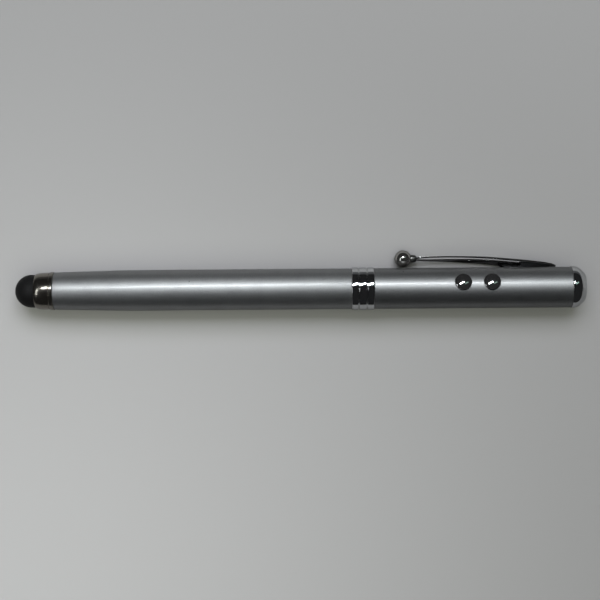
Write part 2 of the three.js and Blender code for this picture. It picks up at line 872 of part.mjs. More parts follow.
// Aperture plate: a disc behind the bezel's rim with an opening for the beam and one for the light
const plateFace = new THREE.Shape().absarc(0, 0, bezelPocketRadius - fit, 0, 2 * Math.PI);
plateFace.holes.push(new THREE.Path().absarc(laserHeight, 0, laserOpeningRadius, 0, 2 * Math.PI));
plateFace.holes.push(new THREE.Path().absarc(-lightDrop, 0, ledRadius, 0, 2 * Math.PI));
const plateShape = new THREE.ExtrudeGeometry(plateFace, {
  depth: plateThickness,
  bevelEnabled: false,
  curveSegments: smallSides,
});
const plateSeat = plateStart + plateThickness;
add(
  rolled,
  "aperture_plate",
  plateShape.translate(0, 0, -plateSeat).rotateY(-Math.PI / 2),
  blackPlastic,
);

// Front bezel: a spigot inside the barrel, a step at the joint, and a dome that ends in an open rim
const bezelSpigotStart = bezelStart - bezelSpigotLength;
const pocketEnd = plateSeat + seam;
add(
  rolled,
  "front_bezel",
  turned([
    [bezelSpigotStart, bezelPocketRadius],
    [bezelSpigotStart, barrelBore - fit],
    [bezelStart, barrelBore - fit],
    [bezelStart, bezelRadius],
    ...quarter([bezelStart + bezelStep, bezelRadius], [penLength, bezelRimRadius]),
    [penLength, bezelMouthRadius],
    [pocketEnd, bezelMouthRadius],
    [pocketEnd, bezelPocketRadius],
  ]),
  chrome,
);

// A smooth curve through a column of the clip's shares
function clipShare(column, at) {
  const last = clipShares.length - 1;
  const slope = (i) => {
    const [before, after] = [clipShares[Math.max(i - 1, 0)], clipShares[Math.min(i + 1, last)]];
    return (after[column] - before[column]) / (after[0] - before[0]);
  };
  let i = 0;
  while (i < last - 1 && clipShares[i + 1][0] < at) i += 1;
  const [here, next] = [clipShares[i], clipShares[i + 1]];
  const width = next[0] - here[0];
  const t = (at - here[0]) / width;
  return (
    (2 * t ** 3 - 3 * t ** 2 + 1) * here[column] +
    (t ** 3 - 2 * t ** 2 + t) * width * slope(i) +
    (3 * t ** 2 - 2 * t ** 3) * next[column] +
    (t ** 3 - t ** 2) * width * slope(i + 1)
  );
}

// The strip at one place along the pen: height of its crown, half its width, and how far its edges hang
function clipAt(x) {
  const share = (x - clipStart) / clipLength;
  return {
    crown: barrelRadius + clipRise * clipShare(1, share),
    half: clipHalfWidth * clipShare(2, share),
    sag: clipDepth * clipShare(3, share) - clipSheet,
  };
}

// A closed body through outlines that all have the same number of points
function loft(sections) {
  const count = sections[0].length;
  const positions = sections.flat().flat();
  const faces = [];
  for (let s = 0; s + 1 < sections.length; s += 1) {
    for (let k = 0; k < count; k += 1) {
      const [a, b] = [s * count + k, s * count + ((k + 1) % count)];
      faces.push(a, a + count, b, b, a + count, b + count);
    }
  }
  const capOf = (section) =>
    THREE.ShapeUtils.triangulateShape(section.map(([, y, z]) => new THREE.Vector2(y, z)), []);
  const end = (sections.length - 1) * count;
  for (const [a, b, c] of capOf(sections[0])) faces.push(a, b, c);
  for (const [a, b, c] of capOf(sections[sections.length - 1])) faces.push(end + a, end + c, end + b);
  const geometry = new THREE.BufferGeometry();
  geometry.setAttribute("position", new THREE.Float32BufferAttribute(positions, 3));
  geometry.setIndex(faces);
  const shape = solid(geometry);
  if (shape.volume() > 0) return geometry;
  return geometry.setIndex(faces.toReversed());
}

// A length of the strip: an arched sheet
function strip(from, to, stations) {
  const sections = [];
  for (let s = 0; s <= stations; s += 1) {
    const x = from + ((to - from) * s) / stations;
    const { crown, half, sag } = clipAt(x);
    const outer = [];
    const inner = [];
    for (let k = 0; k <= clipAcross; k += 1) {
      const across = (2 * k) / clipAcross - 1;
      const height = crown - sag * across ** 2;
      outer.push([x, height, half * across]);
      inner.push([x, height - clipSheet, half * across]);
    }
    sections.push([...outer, ...inner.reverse()]);
  }
  return loft(sections);
}

// The opening in the strip: parallel sides where the strip is wide enough, narrower near the ball, round ends
const slotStart = clipStart + clipSlotInset;
const slotEnd = clipStart + clipLength - clipTongueLength;
const slotLength = slotEnd - slotStart;
function slotPrism(floor) {
  const edge = [];
  for (let i = 0; i <= clipStations; i += 1) {
    const x = slotStart + (slotLength * (1 - Math.cos((Math.PI * i) / clipStations))) / 2;
    const toEnd = Math.min(x - slotStart, slotEnd - x) / clipSlotEnd;
    const rounding = toEnd < 1 ? Math.sqrt(Math.max(1 - (1 - toEnd) ** 2, 0)) : 1;
    edge.push([x, Math.min(clipAt(x).half - clipRail, clipSlotHalfWidth) * rounding]);
  }
  const there = edge.map(([x, y]) => new THREE.Vector2(x, y));
  const back = edge.slice(1, -1).map(([x, y]) => new THREE.Vector2(x, -y)).reverse();
  const prism = new THREE.ExtrudeGeometry(new THREE.Shape([...there, ...back]), {
    depth: clipRise + overrun,
    bevelEnabled: false,
  });
  return prism.rotateX(-Math.PI / 2).translate(0, floor, 0);
}

// Clip arm: the sprung length of the strip, its neck, and the pin that the ball is pressed onto
const armEnd = clipPivot - seam / 2;
const ballCentre = clipStart - clipBallRadius;
const neckRod = turned(
  [
    [clipStart - clipNeckPin, 0],
    [clipStart - clipNeckPin, clipNeckPinRadius],
    [clipStart + seam, clipNeckPinRadius],
    [clipStart + seam, clipNeckRadius],
    ...quarter([clipStart + seam, clipNeckRadius], [clipStart + clipNeckLength, clipNeckRadius / 2]).slice(1),
    [clipStart + clipNeckLength, 0],
  ],
  smallSides,
).translate(0, clipBallOffset, 0);
const armStrip = strip(clipStart + seam * 2, armEnd, clipStations);
const armShape = solid(armStrip).add(solid(neckRod)).subtract(solid(slotPrism(barrelRadius)));
add(rolled, "clip_arm", geometryOf(armShape), chrome);

// Clip ball, with a blind hole for the pin
const pinHole = clipNeckPinRadius + fit;
const holeAngle = Math.asin(pinHole / clipBallRadius);
const ballOutline = [[ballCentre - clipBallRadius, 0]];
for (let i = 1; i <= 2 * curveSteps; i += 1) {
  const angle = ((Math.PI - holeAngle) * i) / (2 * curveSteps);
  ballOutline.push([ballCentre - clipBallRadius * Math.cos(angle), clipBallRadius * Math.sin(angle)]);
}
const pinHoleEnd = clipStart - clipNeckPin - fit;
ballOutline.push([pinHoleEnd, pinHole], [pinHoleEnd, 0]);
add(rolled, "clip_ball", turned(ballOutline, middleSides).translate(0, clipBallOffset, 0), chrome);

// Clip root: the fixed end of the strip with its tongue, a foot that stands on the barrel, and the tab
const rootStart = clipPivot + seam / 2;
const footStart = clipPivot + footInset;
const footSections = [];
for (let s = 0; s <= curveSteps; s += 1) {
  const x = footStart + (footLength * s) / curveSteps;
  const { crown, half, sag } = clipAt(x);
  const top = [];
  for (let k = 0; k <= clipAcross; k += 1) {
    const across = ((2 * k) / clipAcross - 1) * footWidthShare;
    top.push([x, crown - sag * across ** 2 - clipSheet / 2, half * across]);
  }
  const [low, reach] = [barrelRadius + fit, half * footWidthShare];
  footSections.push([...top, [x, low, reach], [x, low, -reach]]);
}
const tab = block(
  [tabStart, tabEnd],
  [anchorTop - anchorThickness, barrelRadius + footFloor / 2],
  [-tabWidth / 2, tabWidth / 2],
);
const rootShape = solid(strip(rootStart, clipStart + clipLength, clipStations / 2))
  .add(solid(loft(footSections)))
  .subtract(solid(slotPrism(barrelRadius + footFloor)))
  .add(solid(tab));
add(rolled, "clip_root", geometryOf(rootShape), chrome);

// Clip anchor: a plate inside the barrel with a hole for the tab
add(
  rolled,
  "clip_anchor",
  cut(
    block(
      [tabStart - anchorMargin, tabEnd + anchorMargin],
      [anchorTop - anchorThickness, anchorTop],
      [-anchorWidth / 2, anchorWidth / 2],
    ),
    block(
      [tabStart - fit, tabEnd + fit],
      [anchorTop - anchorThickness - overrun, anchorTop + overrun],
      [-tabWidth / 2 - fit, tabWidth / 2 + fit],
    ),
  ),
  steel,
);

// Stand the pen on its surface, with the middle of its length and width over the origin
part.updateMatrixWorld(true);
const box = new THREE.Box3().setFromObject(part, true);
const middle = box.getCenter(new THREE.Vector3());
pen.position.set(-middle.x, -middle.y, -box.min.z);
part.updateMatrixWorld(true);

export default part;
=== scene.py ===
# %% [markdown]
# # A laser pointer pen, dressed for its picture
#
# The pen lies on a pale table: a black stylus tip, a satin silver barrel, a chrome ring, a ball clip, two
# domed buttons and a chrome bezel. Its measured solids are already there as a frame of faceted pieces. This
# lesson turns each piece that shows into a smooth one of the same size, gives every piece a finish, and sets
# the camera and the lamps.

# %% Load the frame
import json
from itertools import product
from math import asin, cos, pi, radians, sin, sqrt

import bmesh
import bpy
from mathutils import Matrix, Vector


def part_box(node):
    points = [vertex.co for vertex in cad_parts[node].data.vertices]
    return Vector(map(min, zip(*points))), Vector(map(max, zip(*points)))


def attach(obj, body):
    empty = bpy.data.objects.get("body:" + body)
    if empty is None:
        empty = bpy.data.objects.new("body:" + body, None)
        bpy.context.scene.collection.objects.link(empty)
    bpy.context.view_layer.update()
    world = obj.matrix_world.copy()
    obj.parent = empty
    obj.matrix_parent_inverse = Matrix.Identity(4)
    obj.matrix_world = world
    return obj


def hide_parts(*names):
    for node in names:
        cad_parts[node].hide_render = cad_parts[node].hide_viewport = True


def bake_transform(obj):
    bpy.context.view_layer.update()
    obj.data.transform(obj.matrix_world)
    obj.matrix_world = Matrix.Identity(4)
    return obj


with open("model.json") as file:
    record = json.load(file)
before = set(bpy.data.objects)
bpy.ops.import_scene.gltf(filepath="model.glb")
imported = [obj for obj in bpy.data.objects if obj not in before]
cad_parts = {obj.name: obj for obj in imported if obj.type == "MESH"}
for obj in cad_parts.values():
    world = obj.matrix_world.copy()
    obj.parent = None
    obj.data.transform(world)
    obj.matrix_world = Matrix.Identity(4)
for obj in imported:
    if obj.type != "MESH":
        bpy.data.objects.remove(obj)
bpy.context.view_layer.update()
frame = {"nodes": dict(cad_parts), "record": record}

# %% [markdown]
# ## Places on the pen
#
# Everything is measured in millimetres from the very end of the stylus tip. The pen rests on its ring and on
# the ball of its clip, so it is rolled: the clip reaches out to the back, which is the top of the photo, and
# the buttons look up and a little to the back too. Three directions follow from that: along the pen, out
# through the buttons, and out through the clip. The solids are spun in 36 facets, and the middle of a facet
# is a little nearer to the axis than its edges are. FACET_SHARE says how much.

# %% Directions and the way from pen sizes to the frame
MM = 0.001
PEN_LENGTH = 139.25
BARREL_RADIUS, WALL = 5.0, 0.5
RING_RADIUS = 5.25
FACET_SHARE = cos(pi / 36)
TABLE_TO_AXIS = RING_RADIUS * FACET_SHARE
BALL_RADIUS, BALL_GAP = 2.12, 0.5
BALL_OFFSET = BARREL_RADIUS + BALL_GAP + BALL_RADIUS
ROLL = asin((TABLE_TO_AXIS - BALL_RADIUS) / BALL_OFFSET)
ALONG = Vector((1, 0, 0))
BUTTON_WAY = Vector((0, sin(ROLL), cos(ROLL)))
CLIP_WAY = Vector((0, cos(ROLL), -sin(ROLL)))
ring_low, ring_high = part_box("centre_ring")
AXIS_Y = (ring_low.y + ring_high.y) / 2
AXIS = Vector((-PEN_LENGTH * MM / 2, AXIS_Y, TABLE_TO_AXIS * MM))


def spot(along, to_button=0.0, to_clip=0.0):
    """A point of the pen, in metres, from its place along the pen and its distances off the axis in mm."""
    return AXIS + MM * (ALONG * along + BUTTON_WAY * to_button + CLIP_WAY * to_clip)


print("roll in degrees:", round(ROLL * 180 / pi, 3), " axis:", [round(v * 1000, 3) for v in AXIS])

# %% [markdown]
# ## The camera
#
# The photo looks down on the pen from a forearm's length above it, from a few degrees to the back. The camera
# goes there first, because every later choice is judged through it. Its height and its field of view together
# decide how the pen's ends draw in, so both were fitted to the edges of the barrel.

# %% Camera
VIEW_TILT = ROLL - radians(17.0)
CAMERA_HEIGHT = 0.34
FIELD_OF_VIEW = radians(24.38)
CAMERA_ROLL = radians(-0.45)
AIM_BELOW_AXIS = 2.66
to_camera = Vector((0, sin(VIEW_TILT), cos(VIEW_TILT)))
image_up = Vector((0, cos(VIEW_TILT), -sin(VIEW_TILT)))
pen_middle = spot(PEN_LENGTH / 2)
aim = pen_middle - image_up * AIM_BELOW_AXIS * MM
camera_data = bpy.data.cameras.new("camera")
camera_data.angle = FIELD_OF_VIEW
camera_data.clip_start = 0.01
camera = bpy.data.objects.new("camera", camera_data)
bpy.context.collection.objects.link(camera)
turn = Matrix((ALONG, image_up, to_camera)).transposed()
spin = Matrix.Rotation(CAMERA_ROLL, 3, "Z")
camera.matrix_world = (turn @ spin).to_4x4()
camera.location = aim + to_camera * CAMERA_HEIGHT
bpy.context.scene.camera = camera
print("camera at", [round(v, 4) for v in camera.location])

# %% [markdown]
# ## Finishes
#
# Each finish is a small tree of nodes over Object coordinates, which on these pieces are plain metres in the
# pen's frame. Fine noise moves the roughness and lifts the surface a little, so that no metal is perfectly
# even. One helper starts every finish, and a few more stand for the nodes that most finishes need.


# %% A helper that starts a finish
def start_finish(name):
    """A new material, with its tree, its shader and a source of Object coordinates."""
    material = bpy.data.materials.new(name)
    material.use_nodes = True
    tree = material.node_tree
    shader = next(node for node in tree.nodes if node.type == "BSDF_PRINCIPLED")
    coordinates = tree.nodes.new("ShaderNodeTexCoord")
    return material, tree, shader, coordinates.outputs["Object"]


# %% Helpers for patterns
def noise(tree, where, scale, detail=3.0, roughness=0.5):
    """A noise texture; scale is in grains per metre."""
    node = tree.nodes.new("ShaderNodeTexNoise")
    node.inputs["Scale"].default_value = scale
    node.inputs["Detail"].default_value = detail
    node.inputs["Roughness"].default_value = roughness
    tree.links.new(where, node.inputs["Vector"])
    return node.outputs["Fac"]


def cell_pattern(tree, where, cells_per_metre):
    """The outputs of a pattern of cells: each cell's colour, and the distance to its middle."""
    node = tree.nodes.new("ShaderNodeTexVoronoi")
    node.inputs["Scale"].default_value = cells_per_metre
    tree.links.new(where, node.inputs["Vector"])
    return node.outputs


def spread(tree, value, low, high, from_low=0.3, from_high=0.7):
    """Maps a value from one range to another; noise lies mostly between 0.3 and 0.7."""
    node = tree.nodes.new("ShaderNodeMapRange")
    node.inputs["From Min"].default_value = from_low
    node.inputs["From Max"].default_value = from_high
    node.inputs["To Min"].default_value = low
    node.inputs["To Max"].default_value = high
    tree.links.new(value, node.inputs["Value"])
    return node.outputs["Result"]


def between(tree, factor, low, high, blend="MIX"):
    """A colour between two, by a factor; each of the three may be another node's output."""
    node = tree.nodes.new("ShaderNodeMix")
    node.data_type = "RGBA"
    node.blend_type = blend
    # A Mix node of colours has its factor at 0 and its colours at 6 and 7; the result is output 2.
    for socket, value in ((node.inputs[0], factor), (node.inputs[6], low), (node.inputs[7], high)):
        if isinstance(value, bpy.types.NodeSocket):
            tree.links.new(value, socket)
        else:
            socket.default_value = (*value, 1) if isinstance(value, tuple) else value
    return node.outputs[2]


def combined(tree, operation, first, second):
    """Two values made one by a Math node."""
    node = tree.nodes.new("ShaderNodeMath")
    node.operation = operation
    tree.links.new(first, node.inputs[0])
    tree.links.new(second, node.inputs[1])
    return node.outputs[0]


def raise_surface(tree, shader, height, distance, strength=0.3):
    """Bumps the surface by a height value; distance is in metres."""
    node = tree.nodes.new("ShaderNodeBump")
    node.inputs["Strength"].default_value = strength
    node.inputs["Distance"].default_value = distance
    tree.links.new(height, node.inputs["Height"])
    tree.links.new(node.outputs["Normal"], shader.inputs["Normal"])


# %% A plain finish
GLOSS_PATCH = 9  # grains to a patch of even gloss


def simple_finish(name, colour, metallic, roughness, grain=2500.0, swing=0.15, bump=4e-6, wobble=0.08):
    """A finish with uneven roughness and colour: swing and wobble are shares of the middle value."""
    material, tree, shader, where = start_finish(name)
    shader.inputs["Metallic"].default_value = metallic
    patches = noise(tree, where, grain)
    soft = noise(tree, where, grain / GLOSS_PATCH, detail=2.0)
    gloss = spread(tree, soft, roughness * (1 - swing), roughness * (1 + swing))
    tree.links.new(gloss, shader.inputs["Roughness"])
    low = tuple(c * (1 - wobble) for c in colour)
    high = tuple(min(c * (1 + wobble), 1) for c in colour)
    tree.links.new(between(tree, spread(tree, patches, 0, 1), low, high), shader.inputs["Base Color"])
    raise_surface(tree, shader, patches, bump)
    return material, shader


# %% [markdown]
# The barrels wear a satin lacquer full of tiny metal flakes. A cell pattern of a tenth of a millimetre gives
# each flake its own brightness and its own gloss, so that the highlight gets a bright core and a wide soft
# skirt. A coarser noise gives the faint cloudiness of a sprayed coat, and a sparse cell pattern a few dark
# specks. In the photo the upper barrel is darker than the lower one, so it has a darker, smoother lacquer.


# %% Satin silver lacquer
FLAKES_PER_METRE, CLOUDS_PER_METRE, SPECKS_PER_METRE, SPECK_PATCHES = 9000, 260, 230, 90
CLOUD_TONE, SPECK_TONE = (0.91, 0.91, 0.91), (0.05, 0.05, 0.05)
SPECK_CORE, SPECK_EDGE, SPECK_STRENGTH = 0.03, 0.06, 0.75
PATCH_STARTS, PATCH_FULL = 0.52, 0.57


def satin_lacquer(name, dark_flake, light_flake, smooth, rough):
    """The barrels' lacquer, from the greys of its flakes and the two ends of its roughness."""
    material, tree, shader, where = start_finish(name)
    grey = tree.nodes.new("ShaderNodeRGBToBW")
    tree.links.new(cell_pattern(tree, where, FLAKES_PER_METRE)["Color"], grey.inputs["Color"])
    flake = grey.outputs["Val"]
    cloud = spread(tree, noise(tree, where, CLOUDS_PER_METRE, detail=4), 0, 1)
    cloudy = between(tree, cloud, CLOUD_TONE, (1, 1, 1))
    tone = between(tree, 1, between(tree, flake, dark_flake, light_flake), cloudy, "MULTIPLY")
    to_speck = cell_pattern(tree, where, SPECKS_PER_METRE)["Distance"]
    near_speck = spread(tree, to_speck, 1, 0, SPECK_CORE, SPECK_EDGE)
    patch = noise(tree, where, SPECK_PATCHES, detail=1)
    rare = spread(tree, patch, 0, SPECK_STRENGTH, PATCH_STARTS, PATCH_FULL)
    speck = combined(tree, "MULTIPLY", near_speck, rare)
    tree.links.new(between(tree, speck, tone, SPECK_TONE), shader.inputs["Base Color"])
    tree.links.new(spread(tree, flake, smooth, rough), shader.inputs["Roughness"])
    shader.inputs["Metallic"].default_value = 1.0
    shader.inputs["Specular Tint"].default_value = (0.15, 0.15, 0.15, 1)
    shader.inputs["Coat Weight"].default_value = 0.3
    shader.inputs["Coat Roughness"].default_value = 0.17
    raise_surface(tree, shader, flake, 6e-6, 0.25)
    return material


finish = {"satin_silver": satin_lacquer(
    "satin_lacquer", (0.31, 0.314, 0.318), (0.44, 0.444, 0.448), smooth=0.46, rough=0.57,
)}
upper_lacquer = satin_lacquer(
    "upper_lacquer", (0.26, 0.263, 0.266), (0.37, 0.373, 0.377), smooth=0.425, rough=0.525,
)
print("lacquers:", finish["satin_silver"].name, "and", upper_lacquer.name)

# %% [markdown]
# Chrome plate is a metal with a very smooth skin. What tells one chrome from another in a picture is how much
# of the room it gives back, and how dark it goes where the surface turns away. So one helper makes them all,
# from a colour, a roughness and the tint of the rim. The other finishes come straight from simple_finish.


# %% Chrome and the plain finishes
def plated(name, colour, roughness, rim=0.55, metal=1.0):
    """Chrome plate: nearly a mirror, a little darker at its rims than bare silver would be."""
    material, shader = simple_finish(name, colour, metal, roughness, swing=0.3, bump=5e-7)
    shader.inputs["Specular Tint"].default_value = (rim, rim, rim, 1)
    return material


finish["chrome"] = plated("bright_chrome", (0.62, 0.63, 0.64), 0.055)
finish["dark_chrome"] = plated("smoky_chrome", (0.21, 0.195, 0.172), 0.2, 1.0, 0.97)
finish["steel"] = simple_finish("plain_steel", (0.52, 0.52, 0.51), 1, 0.28)[0]
finish["brass"] = simple_finish("turned_brass", (0.62, 0.47, 0.2), 1, 0.25)[0]
finish["rubber"], rubber_shader = simple_finish(
    "tip_rubber", (0.006, 0.006, 0.0062), 0, 0.62, grain=6000, bump=8e-6,
)
rubber_shader.inputs["Specular IOR Level"].default_value = 0.18
finish["black_plastic"] = simple_finish("black_moulding", (0.014, 0.014, 0.015), 0, 0.42, bump=5e-6)[0]
finish["white_plastic"] = simple_finish("natural_moulding", (0.72, 0.72, 0.67), 0, 0.4, bump=3e-6)[0]
finish["board"] = simple_finish("solder_mask", (0.03, 0.16, 0.07), 0, 0.35, bump=3e-6)[0]
print("finishes:", ", ".join(sorted(finish)))

# %% [markdown]
# Clear parts let light through: the lens of the laser, and the little light's dome. Their shader transmits,
# with the bend of glass and of epoxy.

# %% Clear finish
finish["lens"], lens_shader = simple_finish("clear_lens", (0.93, 0.95, 0.97), 0, 0.05, wobble=0.01)
lens_shader.inputs["Transmission Weight"].default_value = 0.9
lens_shader.inputs["IOR"].default_value = 1.5
print("clear finish:", finish["lens"].name)

# %% [markdown]
# ## Turning pieces on a lathe
#
# Most of this pen is turned: a flat outline, spun round the axis. The outline is a list of places along the
# pen and radii, in mm, as on a turner's drawing. Real edges are never sharp, so a helper replaces each corner
# by a small arc before the outline is spun. Two more draw the round and the bent stretches. A spun mesh of
# quads shades better than a CAD solid of long facets, and costs little.


# %% Outlines with eased corners
ON_AXIS = 1e-6  # mm; any smaller radius counts as nothing
NEARLY_STRAIGHT = -0.97  # the cosine between the two sides of a corner that needs no easing


def on_bend(t, start, middle, end):
    """Where a smooth bend is at a share t of its way, for numbers and for vectors."""
    return (1 - t) ** 2 * start + 2 * t * (1 - t) * middle + t * t * end


def eased(outline, radius=0.06, steps=3):
    """The outline with each corner off the axis rounded, by no more than a third of its shorter side."""
    points = [Vector(point) for point in outline]
    result = []
    for i, corner in enumerate(points):
        before, after = points[i - 1], points[(i + 1) % len(points)]
        back, forward = before - corner, after - corner
        reach = min(radius, back.length / 3, forward.length / 3)
        if corner.y < ON_AXIS or back.normalized().dot(forward.normalized()) < NEARLY_STRAIGHT:
            result.append(corner)
            continue
        start, end = corner + back.normalized() * reach, corner + forward.normalized() * reach
        result += [on_bend(step / steps, start, corner, end) for step in range(steps + 1)]
    return [(point.x, point.y) for point in result]


# %% Outlines that are round or bent
def bulge(start, end, steps=16):
    """Points of a quarter ellipse that bulges outwards between two (place, radius) points."""
    (x0, r0), (x1, r1) = start, end
    points = []
    for i in range(steps + 1):
        angle = pi / 2 * i / steps
        if r1 > r0:
            points.append((x1 + (x0 - x1) * cos(angle), r0 + (r1 - r0) * sin(angle)))
        else:
            points.append((x0 + (x1 - x0) * sin(angle), r1 + (r0 - r1) * cos(angle)))
    return points


def bend(start, middle, end, steps=12):
    """Points of a smooth bend from start to end that heads for middle on the way."""
    columns = list(zip(start, middle, end))
    return [tuple(on_bend(i / steps, *column) for column in columns) for i in range(steps + 1)]


# %% The lathe
SHARP_DEGREES = 40


def spin_outline(outline, sides=96, base=None, way=ALONG, squeeze=FACET_SHARE):
    """A closed mesh from an outline in mm, spun round the line from base along way."""
    base = spot(0) if base is None else base
    across = way.orthogonal().normalized()
    other = way.cross(across)
    mesh = bmesh.new()
    rings = []
    for along, radius in outline:
        centre = base + way * along * MM
        reach = radius * squeeze * MM
        if radius < ON_AXIS:
            rings.append([mesh.verts.new(centre)] * sides)
            continue
        ring = []
        for k in range(sides):
            angle = 2 * pi * k / sides
            ring.append(mesh.verts.new(centre + (across * cos(angle) + other * sin(angle)) * reach))
        rings.append(ring)
    solid = outline[0][1] < ON_AXIS and outline[-1][1] < ON_AXIS
    pairs = list(zip(rings, rings[1:])) + ([] if solid else [(rings[-1], rings[0])])
    for here, there in pairs:
        for k in range(sides):
            n = (k + 1) % sides
            corners = []
            for vert in (here[k], there[k], there[n], here[n]):
                if vert not in corners:
                    corners.append(vert)
            if len(corners) > 2:
                mesh.faces.new(corners)
    bmesh.ops.recalc_face_normals(mesh, faces=mesh.faces)
    return mesh


def keep_mesh(mesh, name, sharp_degrees=SHARP_DEGREES):
    """An object at the origin from a bmesh, smooth but for its sharp edges."""
    data = bpy.data.meshes.new(name)
    mesh.to_mesh(data)
    mesh.free()
    piece = bpy.data.objects.new(name, data)
    bpy.context.collection.objects.link(piece)
    data.shade_smooth()
    data.set_sharp_from_angle(angle=radians(sharp_degrees))
    return piece


# %% [markdown]
# Each finished piece gets three things: its finish, the body that it moves with, and the solid that it stands
# for. One helper does all of that, and prints what it made. A piece that looks unlike the rest of its slot
# brings its own coat.


# %% Dressing a piece
def dress(piece, slot_name, body, *nodes, coat=None):
    """Gives the piece its finish, hangs it on its body and hides the solids that it stands for."""
    if not piece.data.materials:
        piece.data.materials.append(coat or finish[slot_name])
    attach(piece, body)
    if nodes:
        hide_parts(*nodes)
    print(f"{piece.name}: {len(piece.data.polygons)} faces on {body}")


def turned(name, outline, slot_name, body, *nodes, ease=0.06, coat=None, **spin_sizes):
    """A turned piece from its outline, dressed."""
    mesh = spin_outline(eased(outline, ease), **spin_sizes)
    dress(keep_mesh(mesh, name), slot_name, body, *nodes, coat=coat)


# %% [markdown]
# ## The stylus tip and its ferrule
#
# The tip is a soft hollow dome of conductive rubber, pulled over a stub of the ferrule. The ferrule swells
# towards the barrel, and a thin groove sets its collar off.

# %% Stylus tip
TIP_RADIUS, TIP_BORE, TIP_WALL = 4.025, 3.2, 0.825
TIP_DOME, TIP_END = 4.0, 4.95
tip_outline = [
    *bulge((0, 0), (TIP_DOME, TIP_RADIUS), 24), (TIP_END, TIP_RADIUS), (TIP_END, TIP_BORE),
    *bulge((TIP_WALL, 0), (TIP_DOME, TIP_BORE), 12)[::-1],
]
turned("soft_tip", tip_outline, "rubber", "cap", "stylus_tip")

# %% Ferrule
COLLAR_START = 8.6
BARREL_START = 9.6
ferrule_outline = [
    (4.0, 0), (4.0, 3.15), (5.0, 3.15), *bulge((5.0, 4.025), (7.4, 4.55)), (8.45, 4.55), (8.45, 4.35),
    (COLLAR_START, 4.35), (COLLAR_START, 4.6), (8.72, 4.72), (9.48, 4.72), (BARREL_START, 4.6),
    (BARREL_START, 4.015), (13.2, 4.015), (13.2, 3.2), (COLLAR_START, 3.2), (COLLAR_START, 0),
]
turned("ferrule", ferrule_outline, "dark_chrome", "cap", "stylus_ferrule", ease=0.05)

# %% [markdown]
# ## The barrels
#
# The lower barrel narrows to the collar along a gentle power curve, so it has no visible corner. The upper
# barrel is straight. Between them sits the centre ring, which two fine grooves divide into three bands.
# Pieces that meet end to end leave a seam of a twentieth of a millimetre, as real ones do.

# %% Lower barrel
SEAM = 0.05
TAPER_LENGTH = 20.8
TAPER_POWER = 1.4
END_RADIUS = 4.565
RING_START = 82.3


def taper(inset, steps=28):
    """The side of the barrel's narrow end, moved in from the outside by inset."""
    side = []
    for i in range(steps + 1):
        along = i / steps
        narrowing = (BARREL_RADIUS - END_RADIUS) * (1 - along) ** TAPER_POWER
        side.append((BARREL_START + SEAM + (TAPER_LENGTH - SEAM) * along, BARREL_RADIUS - narrowing - inset))
    return side


lower_outline = [*taper(0), (RING_START - SEAM, BARREL_RADIUS), (RING_START - SEAM, BARREL_RADIUS - WALL)]
lower_outline += taper(WALL)[::-1]
turned("lower_tube", lower_outline, "satin_silver", "cap", "lower_barrel", ease=0.1)
liner_outline = [(66.25, 4.1), (66.25, 4.45), (81.25, 4.45), (81.25, 4.1)]
turned("grip_liner", liner_outline, "white_plastic", "cap", "cap_liner")

# %% Centre ring
RING_END, RING_BORE = 87.65, 4.15
GROOVE_PLACES, RING_GROOVE = (83.79, 85.84), 0.26
ring_outline = [(RING_START, RING_BORE), (RING_START, RING_RADIUS)]
for groove in GROOVE_PLACES:
    ring_outline += [
        (groove, RING_RADIUS), (groove, BARREL_RADIUS),
        (groove + RING_GROOVE, BARREL_RADIUS), (groove + RING_GROOVE, RING_RADIUS),
    ]
ring_outline += [(RING_END, RING_RADIUS), (RING_END, RING_BORE)]
turned("middle_ring", ring_outline, "chrome", "pen_core", "centre_ring", ease=0.12)

# %% [markdown]
# The upper tube is the one turned piece with holes: two round ones for the buttons and a slot for the clip's
# tab. Cutters are subtracted from a spun tube. The cut leaves long thin faces in the wall, which would shade
# unevenly, so each corner of the wall gets its true normal, straight out from the axis.


# %% Cutting holes
def apply_modifiers(piece):
    """Replaces the mesh by what the modifiers make of it."""
    graph = bpy.context.evaluated_depsgraph_get()
    data = bpy.data.meshes.new_from_object(piece.evaluated_get(graph))
    piece.modifiers.clear()
    piece.data = data


def subtract(piece, cutters):
    """Cuts the cutters out of the piece and deletes them."""
    for tool in cutters:
        cut = piece.modifiers.new("cut", "BOOLEAN")
        cut.object = tool
        cut.solver = "EXACT"
    apply_modifiers(piece)
    for tool in cutters:
        bpy.data.objects.remove(tool)
    return piece


def box_mesh(low, high):
    """A box between two corners given as (along, to_button, to_clip) in mm."""
    mesh = bmesh.new()
    corners = [mesh.verts.new(spot(*corner)) for corner in product(*zip(low, high))]
    bmesh.ops.convex_hull(mesh, input=corners)
    bmesh.ops.recalc_face_normals(mesh, faces=mesh.faces)
    return mesh


# %% True normals for a wall
WALL_TOLERANCE = 2e-6  # metres
LEVEL_ALONG, LEVEL_ACROSS = 0.02, 0.99  # how far a wall face may lean along the pen, and across it


def radial_normals(piece, radii):
    """Wall corners at one of these radii get their normal straight from the pen's axis."""
    normals = []
    for face in piece.data.polygons:
        for index in face.vertices:
            place = piece.data.vertices[index].co - AXIS
            outward = Vector((0, place.y, place.z))
            off_wall = min(abs(outward.length - radius * MM * FACET_SHARE) for radius in radii)
            facing = face.normal.dot(outward.normalized())
            if off_wall < WALL_TOLERANCE and abs(face.normal.x) < LEVEL_ALONG and abs(facing) > LEVEL_ACROSS:
                normals.append(outward.normalized() * (1 if facing > 0 else -1))
            else:
                normals.append(face.normal.copy())
    piece.data.normals_split_custom_set(normals)


